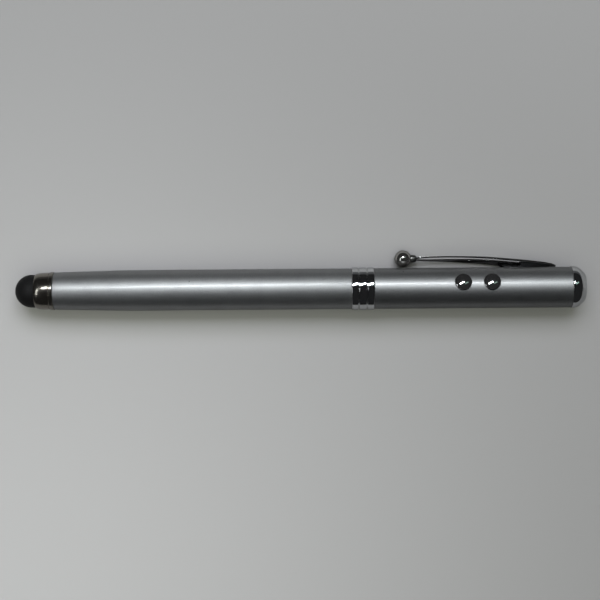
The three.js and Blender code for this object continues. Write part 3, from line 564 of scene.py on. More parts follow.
# %% Upper barrel
UPPER_START, BEZEL_START = RING_END + SEAM, 135.85
BUTTON_PLACES, BUTTON_HOLE, HOLE_FLARE = (109.153, 116.159), 2.09, 0.06
TAB_START, TAB_END = 121.428, 125.628
TAB_PLAY, TAB_HALF = 0.1, 0.9
upper_outline = eased([
    (UPPER_START, BARREL_RADIUS - WALL), (UPPER_START, BARREL_RADIUS),
    (BEZEL_START - SEAM, BARREL_RADIUS), (BEZEL_START - SEAM, BARREL_RADIUS - WALL),
], 0.1)
hole_outline = [(3.2, 0), (3.2, BUTTON_HOLE), (4.9, BUTTON_HOLE), (5.4, BUTTON_HOLE + HOLE_FLARE), (5.4, 0)]
drills = [
    keep_mesh(spin_outline(hole_outline, sides=64, base=spot(place), way=BUTTON_WAY, squeeze=1), "drill")
    for place in BUTTON_PLACES
]
tab_slot = box_mesh((TAB_START - TAB_PLAY, -TAB_HALF, 3), (TAB_END + TAB_PLAY, TAB_HALF, 6))
drills.append(keep_mesh(tab_slot, "tab_slot"))
upper_tube = subtract(keep_mesh(spin_outline(upper_outline, sides=180), "upper_tube"), drills)
radial_normals(upper_tube, (BARREL_RADIUS, BARREL_RADIUS - WALL))
dress(upper_tube, "satin_silver", "upper_body", "upper_barrel", coat=upper_lacquer)

# %% [markdown]
# ## Buttons
#
# Two small chromed domes stand in the holes. Under the tube's wall a flange keeps each from falling out, and
# a plunger reaches down to the switch. A dome is a cap of a sphere. Its width and its rise give the sphere's
# radius, and with it the outline. The domes have a chrome of their own, so that their tone can be set apart
# from the ring's. It is darker: the darker colour is painted shade, for the dark room that they mirror.

# %% Buttons
DOME_RADIUS, DOME_RISE, DOME_TOP, DOME_STEPS = 2.0, 0.46, 5.715, 16
PLUNGER_END, PLUNGER_RADIUS = 2.5, 0.8
FLANGE_START, FLANGE_END, FLANGE_RADIUS = 3.107, 3.607, 2.4
dome_curve = (DOME_RADIUS ** 2 + DOME_RISE ** 2) / (2 * DOME_RISE)
dome_turn = asin(DOME_RADIUS / dome_curve)
dome = []
for step in range(DOME_STEPS + 1):
    angle = dome_turn * (1 - step / DOME_STEPS)
    dome.append((DOME_TOP - dome_curve * (1 - cos(angle)), dome_curve * sin(angle)))
button_outline = [
    (PLUNGER_END, 0), (PLUNGER_END, PLUNGER_RADIUS), (FLANGE_START, PLUNGER_RADIUS),
    (FLANGE_START, FLANGE_RADIUS), (FLANGE_END, FLANGE_RADIUS), (FLANGE_END, DOME_RADIUS), *dome,
]
# Painted shade: the domes' chrome is coloured darker than the ring's, for the dark room that they mirror.
dome_chrome_painted_dark = plated("dome_chrome_painted_dark", (0.4, 0.4, 0.395), 0.075, 0.2, 0.97)
for name, place, body, node in (
    ("laser_dome", BUTTON_PLACES[0], "laser_key", "laser_button"),
    ("light_dome", BUTTON_PLACES[1], "light_key", "light_button"),
):
    turned(name, button_outline, "chrome", body, node,
           ease=0.05, coat=dome_chrome_painted_dark, sides=72, base=spot(place), way=BUTTON_WAY)

# %% [markdown]
# ## The bezel and what looks out of it
#
# The front end is a chromed dome with an open rim, bent in two smooth stretches. A plate with the openings
# for the beam and the light sits behind the rim and comes later, with the laser.

# %% Bezel
bezel_outline = [
    (132.85, 3.85), (132.85, 4.45), (BEZEL_START, 4.45), (BEZEL_START, 5.1),
    *bend((136.3, 5.1), (137.4, 5.1), (138.0, 4.55)),
    *bend((138.0, 4.55), (138.8, 3.9), (PEN_LENGTH, 3.35))[1:],
    (PEN_LENGTH, 3.1), (137.25, 3.1), (137.25, 3.85),
]
turned("bezel", bezel_outline, "chrome", "upper_body", "front_bezel", ease=0.07, sides=128)

# %% [markdown]
# ## The clip
#
# One strip of spring steel, arched across and bowed along its length, with a long opening down its middle.
# Its shape is a short table of shares, from the ball to the tongue: how far along, how high, how wide and how
# hollow. A smooth curve through each column gives every station between.

# %% The strip's shape
CLIP_START, CLIP_LENGTH = 97.17, 35.33
CLIP_RISE, CLIP_HALF, CLIP_DEPTH = 3.0, 2.4, 1.22
SHEET, RAIL = 0.35, 0.4
SLOT_START, SLOT_END, SLOT_ROUND, SLOT_HALF = 98.47, 125.1, 1.2, 1.05
CLIP_SHARES = (
    (0, 0.93, 0.23, 0.37), (0.05, 0.95, 0.46, 0.43), (0.13, 0.97, 0.61, 0.475), (0.27, 0.995, 0.765, 0.6),
    (0.4, 0.99, 0.88, 0.77), (0.5, 0.955, 0.945, 0.88), (0.6, 0.87, 0.99, 0.98), (0.7, 0.755, 1, 1),
    (0.8, 0.63, 0.91, 0.85), (0.9, 0.485, 0.66, 0.62), (0.97, 0.345, 0.37, 0.46), (1, 0.23, 0.14, 0.385),
)


def clip_share(column, at):
    """A smooth curve through one column of the table."""
    last = len(CLIP_SHARES) - 1

    def slope(i):
        before, after = CLIP_SHARES[max(i - 1, 0)], CLIP_SHARES[min(i + 1, last)]
        return (after[column] - before[column]) / (after[0] - before[0])

    i = 0
    while i < last - 1 and CLIP_SHARES[i + 1][0] < at:
        i += 1
    here, there = CLIP_SHARES[i], CLIP_SHARES[i + 1]
    width = there[0] - here[0]
    t = (at - here[0]) / width
    return (
        (2 * t ** 3 - 3 * t ** 2 + 1) * here[column]
        + (t ** 3 - 2 * t ** 2 + t) * width * slope(i)
        + (3 * t ** 2 - 2 * t ** 3) * there[column]
        + (t ** 3 - t ** 2) * width * slope(i + 1)
    )


def clip_at(place):
    """Height of the crown off the axis, half width, and how far the edges hang, all in mm."""
    share = (place - CLIP_START) / CLIP_LENGTH
    return (
        BARREL_RADIUS + CLIP_RISE * clip_share(1, share),
        CLIP_HALF * clip_share(2, share),
        CLIP_DEPTH * clip_share(3, share) - SHEET,
    )


half_way = clip_at(CLIP_START + CLIP_LENGTH / 2)
print("clip half way along: crown, half width and sag in mm:", [round(value, 3) for value in half_way])

# %% [markdown]
# The strip is made as a single layer whose two halves part round the opening. A Solidify modifier then gives
# it its thickness, and a Bevel eases its edges. Cutting the opening out of a finished strip would leave its
# edges without the even rows of faces that a mirror finish needs.


# %% The opening, and stations along the strip
def slot_half(place):
    """Half the width of the opening at a place, nothing outside it."""
    if not SLOT_START < place < SLOT_END:
        return 0.0
    to_end = min(place - SLOT_START, SLOT_END - place) / SLOT_ROUND
    rounding = sqrt(1 - (1 - to_end) ** 2) if to_end < 1 else 1
    return min(clip_at(place)[1] - RAIL, SLOT_HALF) * rounding


def stations(start, end, count):
    """Places between two ends, closer together near both."""
    return [start + (end - start) * (1 - cos(pi * i / count)) / 2 for i in range(count + 1)]


# %% The strip as one layer
def strip_mesh(columns=10):
    """The strip as one layer of quads; its halves share the middle line outside the opening."""
    places = stations(CLIP_START, SLOT_START, 6)[:-1] + stations(SLOT_START, SLOT_END, 110)
    places += stations(SLOT_END, CLIP_START + CLIP_LENGTH, 24)[1:]
    mesh = bmesh.new()
    rows = []
    for place in places:
        crown, half, sag = clip_at(place)
        gap = slot_half(place)
        row = {}
        for side in (-1, 1):
            for j in range(columns + 1):
                if j == 0 and gap == 0 and side == 1:
                    row[side, j] = row[-1, 0]
                    continue
                across = gap + (half - gap) * j / columns
                height = crown - SHEET / 2 - sag * (across / half) ** 2
                row[side, j] = mesh.verts.new(spot(place, side * across, height))
        rows.append(row)
    for here, there in zip(rows, rows[1:]):
        for side in (-1, 1):
            for j in range(columns):
                mesh.faces.new((here[side, j], there[side, j], there[side, j + 1], here[side, j + 1]))
    bmesh.ops.recalc_face_normals(mesh, faces=mesh.faces)
    return mesh


# %% [markdown]
# The clip's hinge stands in for a strip that bends all along. Its two solids would part there, so one strip
# replaces both.

# %% The strip with its thickness
EDGE_EASE = 0.09
clip_strip = keep_mesh(strip_mesh(), "clip_strip", 180)
thickness = clip_strip.modifiers.new("thickness", "SOLIDIFY")
thickness.thickness = SHEET * MM
thickness.offset = 0
edges = clip_strip.modifiers.new("edges", "BEVEL")
edges.width = EDGE_EASE * MM
edges.segments = 3
edges.limit_method = "ANGLE"
edges.angle_limit = radians(50)
apply_modifiers(clip_strip)
clip_strip.data.shade_smooth()
# Painted shade: the strip's chrome is coloured darker than the ring's, for the dark room that it mirrors.
clip_strip.data.materials.append(plated("strip_chrome_painted_dark", (0.3, 0.3, 0.295), 0.075, 0.15, 0.97))
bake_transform(clip_strip)
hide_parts("clip_arm", "clip_root")
print("clip strip:", len(clip_strip.data.polygons), "faces")

# %% [markdown]
# The ball at the clip's end slides over the edge of a pocket. It is a turned sphere, a hair smaller than its
# solid so that it stays inside the solid's facets, and a short turned neck joins it to the strip.


# %% Ball and neck
def sphere_outline(centre, radius, steps):
    """Half a circle about a centre on the axis, from pole to pole."""
    places = [centre - radius * cos(pi * i / steps) for i in range(steps + 1)]
    return [
        (place, radius * sin(pi * i / steps) if 0 < i < steps else 0) for i, place in enumerate(places)
    ]


BALL_CENTRE = CLIP_START - BALL_RADIUS
BALL_SHOWN = BALL_RADIUS - 0.03
ball_base = spot(0, 0, BALL_OFFSET)
# Painted shade: the ball's chrome is coloured darker than the ring's, for the dark room that it mirrors.
ball_chrome_painted_dark = plated("ball_chrome_painted_dark", (0.43, 0.42, 0.4), 0.045, 0.1, 0.96)
ball = keep_mesh(spin_outline(sphere_outline(BALL_CENTRE, BALL_SHOWN, 48), 72, ball_base, squeeze=1), "ball")
dress(ball, "chrome", "clip", "clip_ball", coat=ball_chrome_painted_dark)
neck_outline = [(96.1, 0), (96.1, 0.9), (97.22, 0.98), *bulge((97.27, 0.95), (98.37, 0.5), 8), (98.37, 0)]
# Painted shade: the neck is coloured nearly black, which dims the highlight on it.
neck_chrome_painted_dark = plated("neck_chrome_painted_dark", (0.16, 0.16, 0.155), 0.32, 0.2)
turned("ball_neck", neck_outline, "chrome", "clip",
       ease=0.05, coat=neck_chrome_painted_dark, sides=40, base=ball_base, squeeze=1)

# %% [markdown]
# Where the strip is fixed, a foot fills the wedge between it and the barrel. Its near-black colour is painted
# shade, for the shade that lies in that wedge. Its top follows the strip and its bottom follows the barrel,
# so it is built row by row between the two. It starts as a thin sheet under the strip and deepens over a few
# millimetres. A box is cut out of it under the opening and its upper rail, so that the pale line along the
# opening shows nearly as far as in the photo.

# %% Foot
FOOT_START, FOOT_END, FOOT_SHARE, FOOT_WAIST, FOOT_RAMP = 118.6, 130.6, 0.93, 0.6, 3.0
FOOT_FIRST_DROP, FOOT_UNDER, FOOT_REST = 0.06, SHEET * 0.8, 5.01
FOOT_CUT = (117, -1.2, 5.0), (123.7, 3.0, 9)


def foot_mesh(steps=36, columns=8):
    """A block whose top follows the strip and whose bottom slopes down to the barrel and follows it."""
    mesh = bmesh.new()
    rows = []
    for i in range(steps + 1):
        place = FOOT_START + (FOOT_END - FOOT_START) * i / steps
        drop = min(FOOT_FIRST_DROP + (place - FOOT_START) / FOOT_RAMP, 1)
        crown, half, sag = clip_at(place)
        top, bottom = [], []
        for j in range(columns + 1):
            share = (2 * j / columns - 1) * FOOT_SHARE
            across = half * share
            height = crown - sag * share ** 2 - FOOT_UNDER
            low = across * (1 - drop * (1 - FOOT_WAIST))
            rest = sqrt(FOOT_REST ** 2 - low ** 2)
            top.append(mesh.verts.new(spot(place, across, height)))
            bottom.append(mesh.verts.new(spot(place, low, height + (rest - height) * drop)))
        rows.append(top + bottom[::-1])
    count = len(rows[0])
    for here, there in zip(rows, rows[1:]):
        for k in range(count):
            n = (k + 1) % count
            mesh.faces.new((here[k], there[k], there[n], here[n]))
    mesh.faces.new(rows[0])
    mesh.faces.new(rows[-1][::-1])
    bmesh.ops.recalc_face_normals(mesh, faces=mesh.faces)
    return mesh


foot_slot = keep_mesh(box_mesh(*FOOT_CUT), "foot_slot")
foot = subtract(keep_mesh(foot_mesh(), "clip_foot"), [foot_slot])
foot.data.set_sharp_from_angle(angle=radians(SHARP_DEGREES))
# Painted shade: the foot is coloured near black, for the shade in the wedge under the clip's root.
foot_painted_shade = simple_finish("foot_painted_shade", (0.045, 0.045, 0.047), 1, 0.35, bump=3e-6)[0]
dress(foot, "chrome", "upper_body", coat=foot_painted_shade)

# %% [markdown]
# ## The ballpoint under the lower barrel
#
# Pulling the lower barrel off bares a black grip section with five grooves, a chromed cone and the point of a
# short metal refill. They are all turned, so outlines make them. The ball in the point is a third of a
# millimetre in radius, and still a piece of its own.

# %% Grip section
GRIP_RADIUS, PLUG_RADIUS, SECTION_BORE = 3.9, 4.05, 2.95
GROOVE_WIDTH, GROOVE_DEPTH, GROOVE_SLOPE = 0.8, 0.2, 0.1
GROOVES, FIRST_GROOVE, GROOVE_PITCH = 5, 38, 2
section_outline = [(34, SECTION_BORE), (34, GRIP_RADIUS)]
for number in range(GROOVES):
    groove = FIRST_GROOVE + GROOVE_PITCH * number
    section_outline += [
        (groove, GRIP_RADIUS), (groove + GROOVE_SLOPE, GRIP_RADIUS - GROOVE_DEPTH),
        (groove + GROOVE_WIDTH - GROOVE_SLOPE, GRIP_RADIUS - GROOVE_DEPTH),
        (groove + GROOVE_WIDTH, GRIP_RADIUS),
    ]
section_outline += [(66.25, GRIP_RADIUS), (66.4, PLUG_RADIUS), (82.25, PLUG_RADIUS), (82.25, SECTION_BORE)]
turned("grip_section", section_outline, "black_plastic", "pen_core", "pen_section", ease=0.08)

# %% Cone and refill
cone_outline = [
    (23.6, 1.225), *bulge((23.6, 1.5), (33.95, 3.7), 20), (33.95, 2.9), (39, 2.9), (39, 1.225),
]
turned("point_cone", cone_outline, "chrome", "pen_core", "nib_cone", ease=0.1)
point_outline = [
    (20.75, 0), (20.75, 0.4), (23.45, 1.175), (27.45, 1.175), (27.45, 0.805), (30.45, 0.805), (30.45, 0),
]
turned("refill_tip", point_outline, "steel", "pen_core", "refill_point", ease=0.05, sides=48)
refill_outline = [(27.5, 0.855), (27.5, 1.175), (87.0, 1.175), (87.0, 0.855)]
turned("refill_body", refill_outline, "brass", "pen_core", "refill_tube", ease=0.08, sides=48)
WRITING_BALL, WRITING_RADIUS = 20.35, 0.345
writing_outline = sphere_outline(WRITING_BALL, WRITING_RADIUS, 20)
turned("point_ball", writing_outline, "steel", "pen_core", "writing_ball", ease=0, sides=32, squeeze=1)

# %% [markdown]
# ## What repeats: Geometry Nodes
#
# A screw thread and a spring are the same rule: a profile carried along a spiral. One tree makes both. Its
# inputs are the sizes a maker would name: how many turns, how wide at each end, how long, and the profile's
# height and width. A modifier on an empty object gives the tree its sizes, and the mesh that comes out is
# kept as a plain one.


# %% A tree for anything wound
def new_tree(name, sizes):
    """A tree with one named input for each size, and its input and output nodes."""
    tree = bpy.data.node_groups.new(name, "GeometryNodeTree")
    tree.interface.new_socket("Geometry", in_out="INPUT", socket_type="NodeSocketGeometry")
    tree.interface.new_socket("Geometry", in_out="OUTPUT", socket_type="NodeSocketGeometry")
    for label, kind in sizes.items():
        tree.interface.new_socket(label, in_out="INPUT", socket_type="NodeSocket" + kind)
    return tree, tree.nodes.new("NodeGroupInput"), tree.nodes.new("NodeGroupOutput")


def finish_tree(tree, last, made, slot_name):
    """Ends a tree: instances made real, with a finish."""
    real = tree.nodes.new("GeometryNodeRealizeInstances")
    coat = tree.nodes.new("GeometryNodeSetMaterial")
    coat.inputs["Material"].default_value = finish[slot_name]
    tree.links.new(last, real.inputs[0])
    tree.links.new(real.outputs[0], coat.inputs["Geometry"])
    tree.links.new(coat.outputs[0], made.inputs["Geometry"])


# %% The tree of a winding
def winding_tree(name, slot_name):
    """A tree that carries a round or cornered profile along a spiral, laid along the pen at a place."""
    sizes = {
        "Turns": "Float", "Start Radius": "Float", "End Radius": "Float", "Length": "Float",
        "Profile Height": "Float", "Profile Width": "Float", "Profile Corners": "Int", "Place": "Vector",
    }
    tree, given, made = new_tree(name, sizes)
    node, link = tree.nodes.new, tree.links.new
    spiral = node("GeometryNodeCurveSpiral")
    spiral.inputs["Resolution"].default_value = 40
    for label, socket in (
        ("Turns", "Rotations"), ("Start Radius", "Start Radius"),
        ("End Radius", "End Radius"), ("Length", "Height"),
    ):
        link(given.outputs[label], spiral.inputs[socket])
    upright = node("GeometryNodeSetCurveNormal")
    upright.mode = "Z_UP"
    link(spiral.outputs["Curve"], upright.inputs["Curve"])
    profile = node("GeometryNodeCurvePrimitiveCircle")
    profile.inputs["Radius"].default_value = 1
    link(given.outputs["Profile Corners"], profile.inputs["Resolution"])
    shape = node("ShaderNodeCombineXYZ")
    link(given.outputs["Profile Height"], shape.inputs["X"])
    link(given.outputs["Profile Width"], shape.inputs["Y"])
    sized = node("GeometryNodeTransform")
    link(profile.outputs["Curve"], sized.inputs["Geometry"])
    link(shape.outputs[0], sized.inputs["Scale"])
    swept = node("GeometryNodeCurveToMesh")
    swept.inputs["Fill Caps"].default_value = True
    link(upright.outputs["Curve"], swept.inputs["Curve"])
    link(sized.outputs["Geometry"], swept.inputs["Profile Curve"])
    laid = node("GeometryNodeTransform")
    laid.inputs["Rotation"].default_value = (0, pi / 2, 0)
    link(given.outputs["Place"], laid.inputs["Translation"])
    link(swept.outputs["Mesh"], laid.inputs["Geometry"])
    finish_tree(tree, laid.outputs["Geometry"], made, slot_name)
    return tree


# %% [markdown]
# A tree's sizes are set on the modifier by each socket's identifier, because names may repeat. What the tree
# makes is then read back as a plain mesh. A spiral's ends and caps leave doubled points, so these are merged,
# and the faces are turned outwards.


# %% A plain mesh from a tree
def grown(name, tree, sizes, points=()):
    """An object whose tree gets its sizes, in metres, and leaves a plain mesh behind."""
    data = bpy.data.meshes.new(name)
    data.from_pydata([tuple(point) for point in points], [], [])
    piece = bpy.data.objects.new(name, data)
    bpy.context.collection.objects.link(piece)
    nodes = piece.modifiers.new("nodes", "NODES")
    nodes.node_group = tree
    for socket in tree.interface.items_tree:
        if socket.in_out == "INPUT" and socket.name in sizes:
            nodes[socket.identifier] = sizes[socket.name]
    apply_modifiers(piece)
    mesh = bmesh.new()
    mesh.from_mesh(piece.data)
    bmesh.ops.remove_doubles(mesh, verts=mesh.verts, dist=1e-7)
    bmesh.ops.recalc_face_normals(mesh, faces=mesh.faces)
    mesh.to_mesh(piece.data)
    mesh.free()
    piece.data.shade_smooth()
    piece.data.set_sharp_from_angle(angle=radians(SHARP_DEGREES))
    print(name, "has sizes", ", ".join(sizes))
    return piece


# %% Battery spring
battery_coil = grown("battery_coil", winding_tree("wound_wire", "steel"), {
    "Turns": 5.0, "Start Radius": 3.2 * MM, "End Radius": 1.6 * MM, "Length": 4.7 * MM,
    "Profile Height": 0.2 * MM, "Profile Width": 0.2 * MM, "Profile Corners": 10, "Place": spot(88.65),
})
dress(battery_coil, "steel", "pen_core", "battery_spring")

# %% [markdown]
# ## The connector and the battery
#
# Everything screws together on one turned steel piece. Its battery end carries a fine thread with a pitch of
# three quarters of a millimetre, and the upper barrel turns on it when the batteries are changed. The thread
# is a winding like the spring, with four corners to its profile and six turns.

# %% Connector
PITCH, THREAD_TURNS, THREAD_WIDTH = 0.75, 6.0, 0.34
THREAD_ROOT, THREAD_CREST = 4.1, 4.38
connector_outline = [
    (73, 1.275), (73, 2.9), (82.3, 2.9), (82.3, 4.1), (87.7, 4.1), (87.7, 4.3), (88.0, THREAD_ROOT),
    (93.3, THREAD_ROOT), (93.65, 3.95), (93.65, 3.6), (88.2, 3.6), (88.2, 0), (87.1, 0), (87.1, 1.275),
]
turned("connector_body", connector_outline, "steel", "pen_core", "connector", ease=0.05)
thread = grown("connector_thread", winding_tree("screw_thread", "steel"), {
    "Turns": THREAD_TURNS, "Start Radius": THREAD_ROOT * MM, "End Radius": THREAD_ROOT * MM,
    "Length": THREAD_TURNS * PITCH * MM, "Profile Height": (THREAD_CREST - THREAD_ROOT) * MM,
    "Profile Width": THREAD_WIDTH * MM, "Profile Corners": 4, "Place": spot(88.5),
})
dress(thread, "steel", "pen_core")

# %% [markdown]
# Each button cell is a steel can whose edge is rolled in round a smaller raised lid. A plain coin would miss
# the step and the groove, so the outline has both. The three cells stand in a row in an insulating sleeve.

# %% Button cells
CELL_START, CELL_PITCH = 93.8, 3.65
CELL_OUTLINE = (
    (0, 0), (0, 2.9), (0.2, 3.1), (0.42, 3.14), (0.42, 3.3), (0.3, 3.42),
    (0.35, 3.8), (0.55, 3.95), (3.4, 3.95), (3.6, 3.75), (3.6, 0),
)
for number in (1, 2, 3):
    start = CELL_START + CELL_PITCH * (number - 1)
    cell_outline = [(start + along, radius) for along, radius in CELL_OUTLINE]
    turned(f"cell_{number}", cell_outline, "steel", "cells", f"button_cell_{number}", ease=0.08)
sleeve_outline = [(93.7, 4.05), (93.7, 4.45), (104.7, 4.45), (104.7, 4.05)]
turned("sleeve", sleeve_outline, "white_plastic", "battery_tube", "battery_sleeve", ease=0.08)

# %% [markdown]
# ## The laser and the light
#
# Looking into the bezel, a black disc shows with two openings: a small one for the beam and a larger one that
# the little light's dome pokes through. Both flare outwards, so each is cut by a turned drill of that shape.
# The dome is clear and turned too. The laser's lens behind the small opening keeps its solid.

# %% Disc and light
BEAM_HEIGHT, LIGHT_HEIGHT = 1.6, -1.5
LIGHT_RADIUS, LIGHT_FLANGE = 1.48, 1.8
plate_outline = [(136.4, 0), (136.4, 3.75), (137.2, 3.75), (137.2, 0)]
plate = keep_mesh(spin_outline(eased(plate_outline, 0.1), 72), "front_disc")
beam_line, light_line = spot(0, BEAM_HEIGHT), spot(0, LIGHT_HEIGHT)
flared = [(136, 0), (136, 0.6), (136.9, 0.6), (137.3, 1.0), (137.3, 0)]
wide = [(136, 0), (136, 1.55), (136.95, 1.55), (137.3, 1.9), (137.3, 0)]
subtract(plate, [
    keep_mesh(spin_outline(flared, 40, beam_line, squeeze=1), "beam_drill"),
    keep_mesh(spin_outline(wide, 48, light_line, squeeze=1), "light_drill"),
])
plate.data.set_sharp_from_angle(angle=radians(30))
dress(plate, "black_plastic", "upper_body", "aperture_plate")
light_outline = [
    (131.95, 0), (131.95, LIGHT_FLANGE), (132.95, LIGHT_FLANGE), (132.95, LIGHT_RADIUS),
    *bulge((136.35, LIGHT_RADIUS), (137.8, 0), 16),
]
turned("light_dome_clear", light_outline, "lens", "upper_body", "light_led",
       sides=48, base=light_line, squeeze=1)

# %% [markdown]
# On the circuit board, each leg and contact ends in a small bead of solder. A tree puts one bead on each
# point that it is given, each a little wider or narrower than the last, because no two joints cool alike.


# %% Solder joints
def bead_tree(name):
    """A tree that puts a flattened bead of uneven width on every point of the mesh that it is given."""
    tree, given, made = new_tree(name, {"Bead Radius": "Float", "Bead Height": "Float", "Uneven": "Float"})
    node, link = tree.nodes.new, tree.links.new
    bead = node("GeometryNodeMeshUVSphere")
    bead.inputs["Segments"].default_value = 16
    bead.inputs["Rings"].default_value = 8
    link(given.outputs["Bead Radius"], bead.inputs["Radius"])
    # A Random Value of numbers has its lowest and highest at 2 and 3, and its result at output 1.
    uneven = node("FunctionNodeRandomValue")
    uneven.inputs["Seed"].default_value = 7
    uneven.inputs[2].default_value = 1
    link(given.outputs["Uneven"], uneven.inputs[3])
    size = node("ShaderNodeCombineXYZ")
    link(uneven.outputs[1], size.inputs["X"])
    link(uneven.outputs[1], size.inputs["Y"])
    link(given.outputs["Bead Height"], size.inputs["Z"])
    placed = node("GeometryNodeInstanceOnPoints")
    placed.inputs["Rotation"].default_value = (-ROLL, 0, 0)
    link(given.outputs["Geometry"], placed.inputs["Points"])
    link(bead.outputs["Mesh"], placed.inputs["Instance"])
    link(size.outputs[0], placed.inputs["Scale"])
    finish_tree(tree, placed.outputs[0], made, "steel")
    return tree


BOARD_TOP, JOINT_SIDES = 0.3, (-2.9, 2.9)
JOINT_ROWS = (107.4, 110.9, 114.4, 117.9, 120.4, 121.8)
joint_places = [spot(along, BOARD_TOP, side) for along in JOINT_ROWS for side in JOINT_SIDES]
joints = grown("solder_joints", bead_tree("solder_beads"), {
    "Bead Radius": 0.32 * MM, "Bead Height": 0.7, "Uneven": 1.35,
}, joint_places)
dress(joints, "steel", "upper_body")

# %% [markdown]
# ## The table
#
# The table is matt and pale. A pool of light is painted into its colour: it is lightest at the front left,
# and its tone falls off smoothly with the distance from that place. The photo's table ends in the dark nearer
# to the pen than the camera could show, and only the chrome tells, because it mirrors a dark room there.
# Light
# Path's Is Glossy Ray lets the mirrors see a table painted dark at the back, as painted shade for that unlit
# table, and one painted a little darker in front, as painted shade for the pen's own shadow beside it, while
# the camera sees the pale one.

# %% Table
TABLE_SIZE = 3.0
# Painted light: a pool of light painted into the table's colour, lightest at this place and falling off round
# it.
PAINTED_LIGHT_PLACE, FALL_OFF = (-0.088, -0.094, 0), 0.2
PAINTED_LIGHT_TONE, FALLEN_TONE, PAINTED_SHADE_TONE = (0.56, 0.565, 0.56), (0.305, 0.307, 0.303), (0.03, 0.03, 0.031)
BACK_STARTS, BACK_DARK, FRONT_STARTS, FRONT_DARK, FRONT_SHARE = 0.018, 0.034, -0.006, -0.013, 0.28
table_mesh = bmesh.new()
bmesh.ops.create_grid(table_mesh, x_segments=1, y_segments=1, size=TABLE_SIZE)
table = keep_mesh(table_mesh, "table")
table_finish, tree, shader, where = start_finish("pale_table")
shader.inputs["Roughness"].default_value = 0.6
distance = tree.nodes.new("ShaderNodeVectorMath")
distance.operation = "DISTANCE"
distance.inputs[1].default_value = PAINTED_LIGHT_PLACE
tree.links.new(where, distance.inputs[0])
fallen = spread(tree, distance.outputs["Value"], 0, 1, 0.0, FALL_OFF)
fallen.node.interpolation_type = "SMOOTHSTEP"
tone = between(tree, fallen, PAINTED_LIGHT_TONE, FALLEN_TONE)
depth = tree.nodes.new("ShaderNodeSeparateXYZ")
tree.links.new(where, depth.inputs[0])
back = spread(tree, depth.outputs["Y"], 0, 1, BACK_STARTS, BACK_DARK)
front = spread(tree, depth.outputs["Y"], FRONT_SHARE, 0, FRONT_DARK, FRONT_STARTS)
seen_by = tree.nodes.new("ShaderNodeLightPath")
# Painted shade that only reflections see: the table's colour goes dark at the back and a little darker in
# front.
dark = combined(tree, "MULTIPLY", combined(tree, "MAXIMUM", back, front), seen_by.outputs["Is Glossy Ray"])
tree.links.new(between(tree, dark, tone, PAINTED_SHADE_TONE), shader.inputs["Base Color"])
raise_surface(tree, shader, noise(tree, where, 900), 2e-5)
table.data.materials.append(table_finish)
print("table reaches", max(vertex.co.x for vertex in table.data.vertices), "m each way")

# %% [markdown]
# ## The light
#
# Chrome and satin metal show their lamps, and a matt table shows only how much light falls on it. So the two
# jobs are given to different lamps. Three are seen in reflections only: a long one high above, for the bright
# line along the pen, a narrow one to the side, for the arc on the ball, and a dim green glow for the bezel.
# Two wide soft ones light the table and stay out of reflections, so that the chrome sees a dark room above.


# %% A lamp
OVERHEAD = 1.1


def lamp(name, place, width, depth, power, colour, mirrored=True, turn_about=0.0):
    """A rectangular lamp at a place, facing the pen, turned about the line between them.

    A mirrored one shows in reflections only. Any other lights only what is matt.
    """
    data = bpy.data.lights.new(name, "AREA")
    data.color = colour
    data.shape = "RECTANGLE"
    data.size, data.size_y = width, depth
    data.energy = power
    made = bpy.data.objects.new(name, data)
    bpy.context.collection.objects.link(made)
    made.location = place
    away = (Vector(place) - pen_middle).normalized()
    side = Vector((cos(turn_about), sin(turn_about), 0))
    side = (side - away * side.dot(away)).normalized()
    made.rotation_euler = Matrix((side, away.cross(side), away)).transposed().to_euler()
    made.visible_glossy = mirrored
    made.visible_diffuse = not mirrored
    print(f"{name}: {width} by {depth} m, {power} W")


def overhead(tilt_degrees, along=0.0):
    """A place over the pen, tilted from the camera's line towards the clip's side."""
    tilt = VIEW_TILT + radians(tilt_degrees)
    return pen_middle + Vector((along, sin(tilt) * OVERHEAD, cos(tilt) * OVERHEAD))


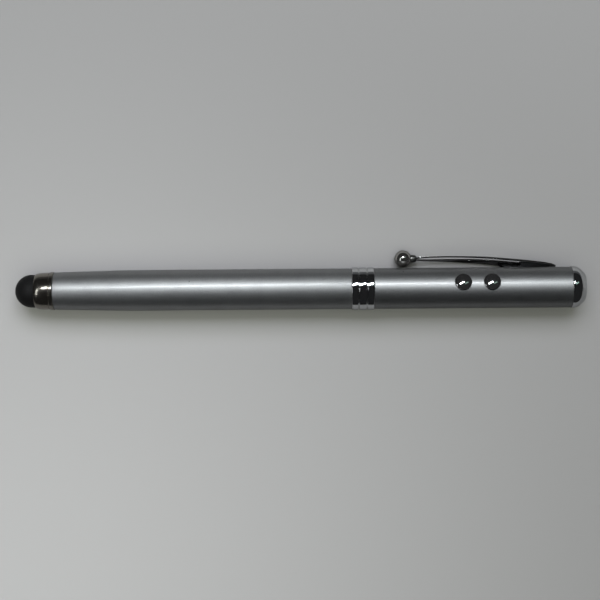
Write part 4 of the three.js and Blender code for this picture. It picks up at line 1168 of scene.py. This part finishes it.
# %% Lamps
LONG_TILT, SOFT_TILT, CEILING_HEIGHT = 22.4, 30, 2.0
LONG_TURN, SIDE_TURN, SIDE_DISTANCE = radians(28), radians(76), 0.5
WINDOW_TINT, GLOW_TINT = (0.96, 1.0, 1.02), (0.72, 1.0, 0.9)
SOFT_TINT, CEILING_TINT = (0.99, 0.98, 1.11), (0.98, 1.0, 0.88)
side_way = (ALONG * -0.6 - image_up * 0.1 + to_camera * 0.79).normalized()
side_place = pen_middle + side_way * SIDE_DISTANCE
lamp("long_lamp", overhead(LONG_TILT, -0.035), 0.57, 0.095, 7.8, WINDOW_TINT, turn_about=LONG_TURN)
lamp("side_lamp", side_place, 0.32, 0.022, 0.26, WINDOW_TINT, turn_about=SIDE_TURN)
lamp("green_glow", overhead(LONG_TILT, 0.5), 0.5, 0.12, 0.17, GLOW_TINT, turn_about=LONG_TURN)
lamp("soft_lamp", overhead(SOFT_TILT), 0.9, 0.55, 8.35, SOFT_TINT, mirrored=False)
lamp("ceiling", (0, 0, CEILING_HEIGHT), 4.0, 4.0, 44.0, CEILING_TINT, mirrored=False)

# %% [markdown]
# The room is the world. Mirrors and lit surfaces see it dark, and the camera, where it looks past the table,
# sees a pale grey backdrop. Light Path's Is Camera Ray tells the two apart.

# %% The room
MIRRORED_ROOM, SEEN_ROOM = (0.018, 0.0184, 0.019), (0.36, 0.365, 0.36)
world = bpy.data.worlds.new("dark_room")
world.use_nodes = True
room = world.node_tree
background = next(node for node in room.nodes if node.type == "BACKGROUND")
background.inputs["Strength"].default_value = 1.0
seen_by = room.nodes.new("ShaderNodeLightPath")
room_tone = between(room, seen_by.outputs["Is Camera Ray"], MIRRORED_ROOM, SEEN_ROOM)
room.links.new(room_tone, background.inputs["Color"])
bpy.context.scene.world = world
bpy.context.scene.view_settings.view_transform = "Standard"
print("room:", world.name)

# %% [markdown]
# ## Finishes for the solids that stay
#
# The small pieces inside keep their solids. Each gets the finish of its slot.

# %% Finishes on the kept solids
subparts = frame["record"]["subparts"]
for row in subparts:
    solid = frame["nodes"][row["node"]]
    solid.data.materials.clear()
    solid.data.materials.append(finish[row["material_slot"]])
print("solids with a finish:", len(subparts))
